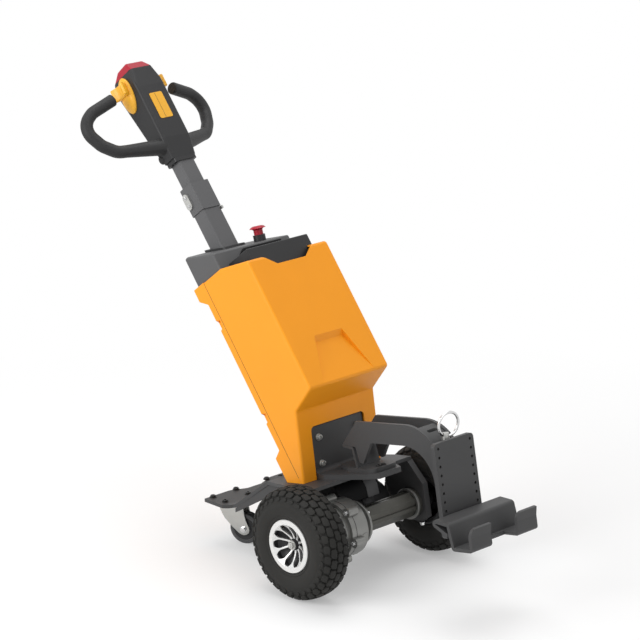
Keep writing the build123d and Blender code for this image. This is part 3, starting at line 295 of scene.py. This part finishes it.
make_finish("block_grey", (0.16, 0.16, 0.16), 0.6, grain=500.0)
FINISH_FOR = {"axle_tube": "tube_alloy", "head_shell": "head_plastic"}
print(len(FINISHES), "finishes")

# %% [markdown]
# Each CAD node takes the finish of its slot.  Two nodes share a slot with a lighter neighbour
# and get a variant: the axle tube is darker than the gearbox, and the head than the housing.

# %% Paint the CAD nodes
SLOT_OF = {s["node"]: s["material_slot"] for s in frame["record"]["subparts"]}
for node_name, node in frame["nodes"].items():
    node.data.materials.clear()
    finish = FINISH_FOR.get(node_name, SLOT_OF[node_name])
    node.data.materials.append(FINISHES[finish])
print(len(SLOT_OF), "nodes painted")

# %% [markdown]
# ## Bench tools
# Every detail is modelled as on a bench: add a primitive, choose some of its faces or edges,
# push them about, then set the piece down in its tilted plane.  Working in the part's own plane
# first and moving the finished mesh once keeps the numbers small and easy to read.

# %% Choose, modify and settle
def start_clean():
    """Leave edit mode and select nothing, so that an operator acts on its own piece alone."""
    if bpy.context.mode != "OBJECT":
        bpy.ops.object.mode_set(mode="OBJECT")
    bpy.ops.object.select_all(action="DESELECT")


def everything(spot, heading):
    """A choice that leaves nothing out."""
    return True


def choose(piece, kind, wanted):
    """Enter edit mode with the points, edges or faces selected whose place and heading pass."""
    if bpy.context.mode != "OBJECT":
        bpy.ops.object.mode_set(mode="OBJECT")
    mesh = piece.data
    bpy.context.view_layer.objects.active = piece
    kinds = ("VERT", "EDGE", "FACE")
    bpy.context.tool_settings.mesh_select_mode = [kind == k for k in kinds]
    for group in (mesh.vertices, mesh.edges, mesh.polygons):
        group.foreach_set("select", [False] * len(group))
    if kind == "VERT":
        for point in mesh.vertices:
            point.select = wanted(point.co, point.normal)
    if kind == "EDGE":
        for edge in mesh.edges:
            start, end = (mesh.vertices[i].co for i in edge.vertices)
            edge.select = wanted((start + end) / 2, (end - start).normalized())
    if kind == "FACE":
        for face in mesh.polygons:
            face.select = wanted(face.center, face.normal)
    bpy.ops.object.mode_set(mode="EDIT")


def modify(piece, kind, **settings):
    """Add a modifier with those settings and apply it at once."""
    modifier = piece.modifiers.new(kind.lower(), kind)
    for key, value in settings.items():
        setattr(modifier, key, value)
    bpy.context.view_layer.objects.active = piece
    bpy.ops.object.modifier_apply(modifier=modifier.name)


def settle(piece, name, place, body, finish):
    """Set a finished piece down: move its mesh, name it, paint it and let it ride."""
    start_clean()
    piece.name = name
    piece.data.name = name
    piece.matrix_world = place @ piece.matrix_world
    piece.select_set(True)
    bpy.context.view_layer.objects.active = piece
    bpy.ops.object.transform_apply(location=True, rotation=True, scale=True)
    bpy.ops.object.shade_smooth_by_angle(angle=radians(32))
    piece.data.materials.clear()
    piece.data.materials.append(FINISHES[finish])
    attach(piece, body)
    return piece


print("bench ready")

# %% [markdown]
# Two shapes turn up again and again: a plate with an outline and a part turned on a lathe.
# Both start from a circle primitive whose points are moved to the outline.  The plate is then
# extruded, and the turned part is spun around its axis, which is the y axis here because the
# wheels, the axle and the motor all turn about it.

# %% Plates and turned parts
def drawn(points, fill):
    """A circle primitive with its points moved to an outline in x and z, in millimetres."""
    start_clean()
    bpy.ops.mesh.primitive_circle_add(vertices=len(points), radius=1.0, fill_type=fill)
    piece = bpy.context.object
    for corner, (x, z) in zip(piece.data.vertices, points):
        corner.co = Vector((x, 0.0, z)) * MM
    return piece


def plate(points, y0, y1, rounding=0.0, segments=2):
    """A plate whose outline runs through the points in x and z, from y0 to y1."""
    piece = drawn(points, "NGON")
    choose(piece, "FACE", everything)
    bpy.ops.transform.translate(value=(0.0, y0 * MM, 0.0))
    bpy.ops.mesh.extrude_region_move(TRANSFORM_OT_translate={"value": (0.0, (y1 - y0) * MM, 0.0)})
    bpy.ops.mesh.select_all(action="SELECT")
    bpy.ops.mesh.normals_make_consistent(inside=False)
    bpy.ops.object.mode_set(mode="OBJECT")
    if rounding:
        modify(
            piece, "BEVEL", width=rounding * MM, segments=segments, limit_method="ANGLE",
            angle_limit=radians(30),
        )
    return piece


def turned(points, steps=48):
    """A part turned around the y axis; the points give its radius and its place along y."""
    start_clean()
    bpy.ops.mesh.primitive_circle_add(vertices=len(points), radius=1.0, fill_type="NOTHING")
    piece = bpy.context.object
    for corner, (radius, y) in zip(piece.data.vertices, points):
        corner.co = Vector((radius, y, 0.0)) * MM
    choose(piece, "EDGE", everything)
    bpy.ops.mesh.spin(steps=steps, angle=2 * pi, center=(0, 0, 0), axis=(0, 1, 0))
    bpy.ops.mesh.select_all(action="SELECT")
    bpy.ops.mesh.remove_doubles(threshold=0.02 * MM)
    bpy.ops.mesh.normals_make_consistent(inside=False)
    bpy.ops.object.mode_set(mode="OBJECT")
    return piece


def joined(pieces):
    """Several pieces as one."""
    start_clean()
    for piece in pieces:
        piece.select_set(True)
    bpy.context.view_layer.objects.active = pieces[0]
    if len(pieces) > 1:
        bpy.ops.object.join()
    return pieces[0]


def repeated(model, places):
    """Copies of the model at each place, each with its own mesh, joined; the model goes."""
    copies = []
    for place in places:
        twin = model.copy()
        twin.data = model.data.copy()
        scene.collection.objects.link(twin)
        twin.matrix_world = place @ model.matrix_world
        copies.append(twin)
    bpy.data.objects.remove(model)
    return joined(copies)


def at(x, y, z, turn_by=0.0):
    """A place in a tilted plane, in millimetres, turned about y by that angle in degrees."""
    return Matrix.Translation(Vector((x, y, z)) / 1000) @ Matrix.Rotation(radians(turn_by), 4, "Y")


def around(radius, y, first):
    """Six places on a circle about the y axis, the first at that angle."""
    angles = [radians(a) for a in range(first, first + 360, 60)]
    return [at(radius * cos(a), y, radius * sin(a)) for a in angles]


def hexagon(radius):
    """The six corners of a nut or of a key's hole."""
    return [(radius * cos(pi * k / 3), radius * sin(pi * k / 3)) for k in range(6)]


# Turns that point a piece made along -y another way.
FORWARD = Matrix.Rotation(pi / 2, 4, "Z")
UPWARD = Matrix.Rotation(-pi / 2, 4, "X")
DOWNWARD = Matrix.Rotation(pi / 2, 4, "X")
LEFTWARD = Matrix.Rotation(pi, 4, "Z")


print("plates, turned parts and copies ready")

# %% [markdown]
# ## Tyres
# The real tyre is a rubber ring with a brick pattern of rounded blocks.  A displacement map
# would stretch the blocks, so the ring is spun from its section and the blocks are modelled:
# one pitch of blocks, then thirty-two copies of it spun around the axle.  The blocks end just
# inside the rolling radius of the CAD tyre, so that the tug stands on the floor as before.

# %% Tyre carcass and tread
TREAD_PITCHES = 32
BLOCK_DEPTH = 7.0
BLOCK_CORNER = 3.2
BLOCK_SLANT = 1.5
BLOCK_EDGE = 1.1
WHEEL_Y = 0.212
WHEELS = {
    "right_wheel": ROAD @ Matrix.Translation((0.0, -WHEEL_Y, 0.0)),
    "left_wheel": ROAD @ Matrix.Translation((0.0, WHEEL_Y, 0.0)) @ LEFTWARD,
}
# The rows beside the middle one: place across, radius of the top, lean, width, length and step
# around, in millimetres, degrees and pitches.
SIDE_ROWS = (
    (17.4, 128.0, 9.0, 15.0, 21.0, 0.5),
    (32.6, 121.3, 42.0, 13.4, 18.6, 0.0),
    (39.6, 108.4, 72.0, 9.5, 12.5, 0.5),
)
# One side of the carcass, from the bead to the shoulder, as radius and place across.
side_wall = (
    (61.2, 33.0), (63.5, 36.8), (68.0, 38.6), (69.6, 37.9), (71.2, 39.2), (80.0, 41.3),
    (90.0, 41.8), (98.0, 41.0), (99.4, 40.2), (101.0, 40.4), (108.0, 37.4), (115.0, 32.5),
    (120.5, 26.0), (124.0, 14.0),
)
tyre_section = side_wall + ((125.0, 0.0),) + tuple((r, -y) for r, y in reversed(side_wall))


def tread_block(y, radius, lean, width, length, step):
    """One block: its middle's place across, its top's radius, lean, size and place around."""
    side = width / 2
    end = length / 2
    cut = BLOCK_CORNER
    slant = BLOCK_SLANT
    corners = (
        (-end + cut, -side),
        (end - cut, -side),
        (end, -side + cut),
        (end + slant, side - cut),
        (end - cut + slant, side),
        (-end + cut + slant, side),
        (-end + slant, side - cut),
        (-end, -side + cut),
    )
    block = plate(corners, 0.0, BLOCK_DEPTH)
    choose(block, "EDGE", lambda spot, along: spot.y < 0.1 * MM and abs(along.y) < 0.5)
    bpy.ops.mesh.bevel(offset=BLOCK_EDGE * MM, segments=2)
    bpy.ops.object.mode_set(mode="OBJECT")
    leaned = Matrix.Rotation(radians(-lean), 4, "X")
    block.matrix_world = (
        Matrix.Rotation(radians(step * 360 / TREAD_PITCHES), 4, "Y")
        @ Matrix.Translation((0.0, y * MM, radius * MM)) @ leaned @ UPWARD
    )
    return block


def tyre(name, body):
    """A whole tyre with its tread, set down on one wheel."""
    blocks = [tread_block(0.0, 129.4, 0.0, 14.6, 21.0, 0.0)]
    for sign in (-1, 1):
        for across, radius, lean, width, length, step in SIDE_ROWS:
            blocks.append(tread_block(sign * across, radius, sign * lean, width, length, step))
    pitch = joined(blocks)
    start_clean()
    pitch.select_set(True)
    bpy.context.view_layer.objects.active = pitch
    bpy.ops.object.transform_apply(location=True, rotation=True, scale=True)
    choose(pitch, "FACE", everything)
    bpy.ops.mesh.spin(
        steps=TREAD_PITCHES - 1, dupli=True, angle=2 * pi * (TREAD_PITCHES - 1) / TREAD_PITCHES,
        center=(0, 0, 0), axis=(0, 1, 0),
    )
    bpy.ops.mesh.select_all(action="SELECT")
    bpy.ops.mesh.normals_make_consistent(inside=False)
    bpy.ops.object.mode_set(mode="OBJECT")
    carcass = turned(tyre_section, steps=96)
    return settle(joined([carcass, pitch]), name, WHEELS[body], body, "tyre_rubber")


for side in ("right", "left"):
    done = tyre(f"{side}_treaded_tyre", f"{side}_wheel")
    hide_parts(f"{side}_tyre")
    print(done.name, len(done.data.polygons), "faces")

# %% [markdown]
# ## Wheels
# The alloy wheel is a bright turned ring, ten thin spokes that dive into the bowl and a dark
# hub deep inside.  One spoke is a narrow grid bent along the bowl's curve, thickened by a
# modifier and spun ten times; the black bowl behind it makes the pockets read as holes.

# %% Ring, bowl, spokes and hub nut
RING_FACE = -38.0
BOWL_DEPTH = 21.0
BOWL_RADIUS = 49.5
BOWL_RUN = 35.0
SPOKES = 10
SPOKE_HALF = 2.0
SPOKE_MIDDLE = 31.4
SPOKE_REACH = 18.4
SPOKE_THICK = 6.0
OPENING_MIDDLE = 38.8
OPENING_HALF = 10.2


def bowl(radius):
    """How far behind the ring's face the spokes lie at that radius."""
    share = (BOWL_RADIUS - radius) / BOWL_RUN
    return BOWL_DEPTH * (1 - max(0.0, 1 - share) ** 1.5)


def spoke_half_width(radius):
    """Half a spoke: slim, wider at the hub, and flared so that each opening ends round."""
    root = max(0.0, (20.0 - radius) / 6.0)
    if radius < OPENING_MIDDLE:
        return SPOKE_HALF + 1.2 * root
    opening = sqrt(max(0.0, OPENING_HALF ** 2 - (radius - OPENING_MIDDLE) ** 2))
    return max(SPOKE_HALF, pi * radius / SPOKES - opening)


# Sections of the turned parts, as radius and place across.
ring_section = (
    (61.4, -34.0), (61.4, RING_FACE + 1.2), (60.4, RING_FACE), (50.0, RING_FACE),
    (49.0, RING_FACE + 0.8), (49.0, -33.0), (53.0, -32.0),
)
barrel_section = (
    (60.9, -35.0), (60.9, 33.0), (56.0, 33.0), (54.0, 28.0), (49.0, 26.0), (47.2, -20.0),
    (47.2, -35.0),
)
bowl_section = (
    (47.4, -25.0), (44.0, -19.5), (34.0, -13.0), (20.0, -11.0), (18.5, -11.0), (18.5, -8.0),
    (34.0, -9.0), (45.0, -15.0), (47.4, -21.0),
)
hub_section = (
    (0.0, -26.0), (6.2, -26.0), (6.2, -24.5), (10.4, -24.5), (12.2, -22.5), (13.4, -17.0),
    (16.5, -15.0), (16.5, -13.5), (0.0, -13.5),
)
for side in ("right", "left"):
    body = f"{side}_wheel"
    ring = turned(ring_section, steps=72)
    settle(ring, f"{side}_bright_ring", WHEELS[body], body, "rim_alloy")
    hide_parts(f"{side}_rim")
    barrel = turned(barrel_section, steps=72)
    bowl_back = turned(bowl_section, steps=48)
    settle(joined([barrel, bowl_back]), f"{side}_black_bowl", WHEELS[body], body, "black_plastic")

    start_clean()
    bpy.ops.mesh.primitive_grid_add(x_subdivisions=28, y_subdivisions=2, size=2.0)
    spoke = bpy.context.object
    for point in spoke.data.vertices:
        radius = SPOKE_MIDDLE + SPOKE_REACH * point.co.x
        across = spoke_half_width(radius) * point.co.y
        crown = 0.5 * (1 - abs(point.co.y))
        point.co = Vector((radius, RING_FACE + bowl(radius) - crown + 0.3, across)) * MM
    choose(spoke, "FACE", everything)
    bpy.ops.mesh.normals_make_consistent(inside=False)
    bpy.ops.object.mode_set(mode="OBJECT")
    if spoke.data.polygons[0].normal.y > 0:
        spoke.data.flip_normals()
    modify(spoke, "SOLIDIFY", thickness=SPOKE_THICK * MM, offset=-1.0)
    choose(spoke, "FACE", everything)
    bpy.ops.mesh.spin(
        steps=SPOKES - 1, dupli=True, angle=2 * pi * (SPOKES - 1) / SPOKES,
        center=(0, 0, 0), axis=(0, 1, 0),
    )
    bpy.ops.object.mode_set(mode="OBJECT")
    settle(spoke, f"{side}_spokes", WHEELS[body] @ at(0, 0, 0, 9.0), body, "rim_alloy")

    boss = turned(hub_section, steps=36)
    settle(boss, f"{side}_hub_boss", WHEELS[body], body, "black_plastic")
    nut = plate(hexagon(8.2), -31.5, -24.5, 0.8)
    washer = turned([(5.0, -26.2), (11.0, -26.2), (11.0, -24.2), (5.0, -24.2)], steps=32)
    stud = turned([(0, -34), (3.4, -34), (4.2, -33.2), (4.2, -30), (0, -30)], steps=24)
    settle(joined([nut, washer, stud]), f"{side}_hub_nut", WHEELS[body], body, "zinc_steel")
    print(side, "wheel dressed")

# %% [markdown]
# ## Screws
# The tug is bolted together with socket head screws.  One screw is turned with a rounded top
# edge, and a six-sided hole is cut in it with a Boolean; copies of it then go to each place in
# a short list.  A screw points along -y until it is turned to its surface.

# %% Socket head screw
WALL_FRONT = -60.6
DECK_TOP = 108.4
FLANGE_TOP = 129.7
BRACKET_FOOT = -42.2
BRACKET_Y = 139.0
HOOK_SIDE = 55.2
PAD_TOP = 111.0
CASTER_X = -367.0
CASTER_Y = 86.0
CASTER_HEADING = 23.0


def screw(radius, height, washer=1.6):
    """A socket head screw on its washer, standing on y = 0 and pointing along -y."""
    head = turned([
        (0.0, 0.0), (radius * 1.3, 0.0), (radius * 1.3, -washer), (radius, -washer),
        (radius, 0.9 - height), (radius - 0.5, 0.2 - height), (radius - 1.0, -height),
        (0.0, -height),
    ], steps=24)
    hole = plate(hexagon(0.52 * radius), -height - 2.0, -height * 0.45)
    modify(head, "BOOLEAN", operation="DIFFERENCE", object=hole, solver="EXACT")
    bpy.data.objects.remove(hole)
    return head


wall_places = [at(WALL_FRONT, y, z) @ FORWARD for y in (-61, 61) for z in (141, 202)]
settle(repeated(screw(6.2, 9.0, 2.4), wall_places), "wall_screws", DECK, "chassis", "zinc_steel")

lug_places = around(70, -112.2, -20)
settle(repeated(screw(4.6, 5.0), lug_places), "gearbox_screws", DECK, "chassis", "bright_steel")

flange_places = [place @ LEFTWARD for place in around(46, -34.0, 33)]
settle(repeated(screw(3.8, 5.0), flange_places), "flange_screws", DECK, "chassis", "bright_steel")

frame_places = [at(-29.3, 135.9, -37.1)]
for y in (BRACKET_Y, -BRACKET_Y):
    frame_places += [at(x, y, BRACKET_FOOT) @ DOWNWARD for x in (34.0, -60.0)]
frame_places += [at(316.0, -HOOK_SIDE, 10.8), at(316.0, HOOK_SIDE, 10.8) @ LEFTWARD]
settle(repeated(screw(5.2, 7.0), frame_places), "frame_screws", DECK, "chassis", "bright_steel")

dark_places = [at(-185.0, y, DECK_TOP) @ UPWARD for y in (-81, 81)]
dark_places += [at(70.0, y, FLANGE_TOP) @ UPWARD for y in (-9, 6)]
settle(repeated(screw(5.6, 3.0, 0.8), dark_places), "deck_screws", DECK, "chassis", "black_oxide")

pad_z = PAD_TOP - AXLE_HEIGHT / MM
pad_places = [
    at(CASTER_X + x, y + sign * CASTER_Y, pad_z) @ UPWARD
    for sign in (-1, 1) for x in (-21, 21) for y in (-36.5, 36.5)
]
settle(repeated(screw(6.4, 5.0, 1.2), pad_places), "pad_screws", ROAD, "chassis", "black_oxide")

# %% [markdown]
# ## Gearbox and motor
# The gearbox is a casting in two halves, so it gets the thin black joint line, a machined
# flange where the axle tube is bolted on, and short ribs.  The motor gets a grey clamp band, an
# end cap and the black terminal cover that closes the space under the deck, with a grey strap;
# the cover is near-black because it also carries the painted shade that falls under the deck.

# %% Flange, joint, band and cover
flange = turned([
    (36, -33.8), (50.6, -33.8), (51.6, -34.8), (51.6, -38.6), (50.6, -39.6), (40, -42),
])
ribs = []
for turn_by in range(10, 370, 60):
    rib = plate([(60.5, -1.6), (67.0, -1.6), (67.0, 1.6), (60.5, 1.6)], -80.0, -64.0, 0.8)
    rib.matrix_world = at(0, 0, 0, turn_by)
    ribs.append(rib)
settle(joined([flange] + ribs), "gearbox_flange", DECK, "chassis", "cast_alloy")
joint = turned([(64.0, -98.6), (66.4, -98.6), (66.4, -97.4), (64.0, -97.4)], steps=72)
settle(joint, "gearbox_joint", DECK, "chassis", "black_plastic")
tube_ring = turned([(30, 130.6), (35.6, 130.6), (36.6, 131.6), (36.6, 135.8), (30, 135.8)])
settle(tube_ring, "tube_ring", DECK, "chassis", "cast_alloy")

MOTOR_PLACE = DECK @ at(-99.6, 0.0, 0.5)
band = turned([(54.6, 40), (56.0, 40), (56.6, 41), (56.6, 74), (56.0, 75), (54.6, 75)], steps=72)
tab = plate([(52, -14), (61, -14), (63, -12), (63, 12), (61, 14), (52, 14)], 50, 65, 1.0)
tab.matrix_world = at(0, 0, 0, 248)
settle(joined([band, tab]), "motor_band", MOTOR_PLACE, "chassis", "grey_plastic")
end_cap = turned([
    (0, 121.5), (52, 121.5), (54, 123), (54, 126), (50, 128), (22, 128.5), (20, 131), (0, 131),
], steps=60)
settle(end_cap, "motor_end_cap", MOTOR_PLACE, "chassis", "black_plastic")

# The terminal cover's near-black is partly its own black and partly painted shade for the shadow
# under the deck.
cover = plate([
    (-150, 40), (-14, 40), (-17, 66), (-28, 86), (-46, 98), (-60, 99.2), (-150, 99.2),
], -61.0, 70.0, 4.0, 3)
settle(cover, "terminal_cover", DECK, "chassis", "painted_shade_black")
strap = plate([
    (-12.8, 42), (-15.8, 66.4), (-27.0, 87.0), (-40, 95.6), (-41, 93), (-29, 84), (-18, 64),
    (-16, 42),
], 24.0, 60.0, 0.6)
settle(strap, "motor_strap", DECK, "chassis", "grey_plastic")
print("gearbox and motor dressed")

# %% [markdown]
# ## Casters
# The fork of a pressed steel caster is a wide cheek each side that narrows in a curve to the
# axle.  The plain CAD fork is replaced by one with that outline, rounded edges, a crown and a
# real axle bolt with its nut.  It turns with its body, so it stays about the same swivel axis.

# %% Caster forks, bolts and wheel rings
CASTER_AXLE = at(40, 0, 37.5)
CHEEK_THICK = 2.6
CHEEK_OUT = 17.1
CHEEK_IN = 14.5
# The outline of a cheek, from the crown down around the axle and up again.
cheek = (
    (-24, 90.4), (-19.5, 79), (-14, 68), (-8, 59), (3, 48), (12, 39.5), (25.5, 28.5), (33, 24),
    (40, 22.6), (47, 24.4), (52.5, 29.5), (54.5, 36), (53, 43), (49, 51), (44.5, 62), (41, 76),
    (39, 90.4),
)
for side, sign in (("right", -1), ("left", 1)):
    foot = Vector((AXLE.x + CASTER_X * MM, sign * CASTER_Y * MM, 0.0))
    swivel = Matrix.Translation(foot) @ Matrix.Rotation(radians(CASTER_HEADING), 4, "Z")
    cheeks = [plate(cheek, y, y + CHEEK_THICK, 0.9) for y in (-CHEEK_OUT, CHEEK_IN)]
    crown = plate(
        [(-24, 87.6), (39, 87.6), (39, 90.6), (-24, 90.6)], -CHEEK_OUT, CHEEK_OUT, 0.9
    )
    king = turned([(0, -99), (6, -99), (6, -90), (22, -90), (22, -88), (0, -88)], steps=40)
    king.matrix_world = UPWARD
    axle = turned([(0, -19.5), (3.9, -19.5), (3.9, 19.5), (0, 19.5)], steps=24)
    axle.matrix_world = CASTER_AXLE
    fork = joined(cheeks + [crown, king, axle])
    settle(fork, f"{side}_pressed_fork", swivel, f"{side}_caster_swivel", "zinc_steel")
    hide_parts(f"{side}_caster_fork")
    nuts = []
    for end in (-1, 1):
        nut = plate(hexagon(7.4), -23.5, -17.2, 1.0, 3)
        rim = turned([(3, -18.2), (8.6, -18.2), (8.6, -17.0), (3, -17.0)], steps=32)
        for piece in (nut, rim):
            piece.matrix_world = CASTER_AXLE @ (Matrix() if end < 0 else LEFTWARD)
            nuts.append(piece)
    settle(joined(nuts), f"{side}_axle_nuts", swivel, f"{side}_caster_swivel", "bright_steel")
    ring = turned([
        (15, -11.6), (24.5, -11.6), (26.5, -12.2), (27.5, -12.2), (27.5, -11.2), (15, -11),
    ])
    back_ring = turned([
        (15, 11), (27.5, 11.2), (27.5, 12.2), (26.5, 12.2), (24.5, 11.6), (15, 11.6),
    ])
    rings = joined([ring, back_ring])
    rings.matrix_world = CASTER_AXLE
    settle(rings, f"{side}_caster_rings", swivel, f"{side}_caster_wheel", "black_plastic")
    print(side, "caster dressed")

# %% [markdown]
# ## Head, levers and mast
# The thumb levers are soft moulded parts: a flattened sphere for the disc and a crescent with
# well rounded edges for the wings.  Small screws, a line down the blank yellow panel, a near-black
# strip of painted shadow in the gap under the lip of the housing and the dark seam between the
# two covers finish the upper half.

# %% Thumb levers, screws and painted shadow strip
LEVER_X = -20.0
LEVER_FOOT = 42.5
LEVER_AT = 200.0
LEVER_LEAN = 8.0
COVER_HALF = 125.0
SEAM_PROUD = 0.25


def ellipsoid(half_x, half_y, half_z):
    """A UV sphere stretched to three half sizes in millimetres."""
    start_clean()
    bpy.ops.mesh.primitive_uv_sphere_add(segments=48, ring_count=24, radius=MM)
    piece = bpy.context.object
    bpy.ops.object.mode_set(mode="EDIT")
    bpy.ops.mesh.select_all(action="SELECT")
    bpy.ops.transform.resize(value=(half_x, half_y, half_z), center_override=(0, 0, 0))
    bpy.ops.object.mode_set(mode="OBJECT")
    return piece


# The wings' section: out from the foot to one tip, over the hollow for the thumb and back.
crescent = [(14, 3), (20, 11), (25.5, 22)]
crescent += [(x, 16 + 9.5 * (x / 20) ** 2) for x in range(20, -21, -4)]
crescent += [(-25.5, 22), (-20, 11), (-14, 3)]
for side, sign in (("right", -1), ("left", 1)):
    wings = plate(crescent, -2.0, 30.0, 2.6, 4)
    wings.matrix_world = DOWNWARD
    disc = ellipsoid(24.0, 11.0, 45.0)
    disc.matrix_world = Matrix.Rotation(radians(-sign * LEVER_LEAN), 4, "Y")
    turn = Matrix() if sign < 0 else LEFTWARD
    place = MAST @ at(LEVER_X, sign * LEVER_FOOT, LEVER_AT) @ turn
    lever = joined([wings, disc])
    settle(lever, f"{side}_moulded_lever", place, "tiller", "yellow_plastic")
    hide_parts(f"{side}_thumb_lever")

head_places = [at(-27.3, -53.0, 203.0), at(-27.3, 53.0, 203.0) @ LEFTWARD]
settle(repeated(screw(2.6, 3.0, 0.6), head_places), "head_screws", MAST, "tiller", "bright_steel")
bosses = []
for sign in (-1, 1):
    boss = ellipsoid(10.0, 7.0, 12.0)
    boss.matrix_world = at(-20.0, sign * 35.0, 24.0)
    bosses.append(boss)
settle(joined(bosses), "head_bosses", MAST, "tiller", "grip_rubber")
panel_line = plate([(25.0, 111.0), (25.4, 111.0), (25.4, 176.0), (25.0, 176.0)], -3.4, -2.6)
settle(panel_line, "panel_line", MAST, "tiller", "black_plastic")

clamp_places = [at(-10.0, -33.8, z) for z in (-109.0, -87.0)]
clamp_screws = repeated(screw(4.2, 3.6, 0.8), clamp_places)
settle(clamp_screws, "clamp_screws", MAST, "chassis", "bright_steel")
catch = plate([(18, -144), (27, -144), (27, -136), (18, -136)], 26.0, 30.0, 1.0)
settle(catch, "mast_catch", MAST, "chassis", "zinc_steel")

# A near-black strip in the gap under the housing's lip: painted shadow, not a part.
strip = plate([
    (-52, 766), (-47, 766), (-26, 776.6), (88, 776.6), (88, 782), (-31, 782),
], -141.6, -137.0, 0.6)
strip.matrix_world = FORWARD
settle(strip, "lip_shadow_strip", BODY, "chassis", "painted_shade_black")
seams = [
    plate([(70.5, 243), (71.4, 243), (71.4, 745), (70.5, 745)], y - SEAM_PROUD, y + SEAM_PROUD)
    for y in (-COVER_HALF, COVER_HALF)
]
settle(joined(seams), "cover_seams", BODY, "chassis", "black_plastic")
print("head, mast and lid dressed")
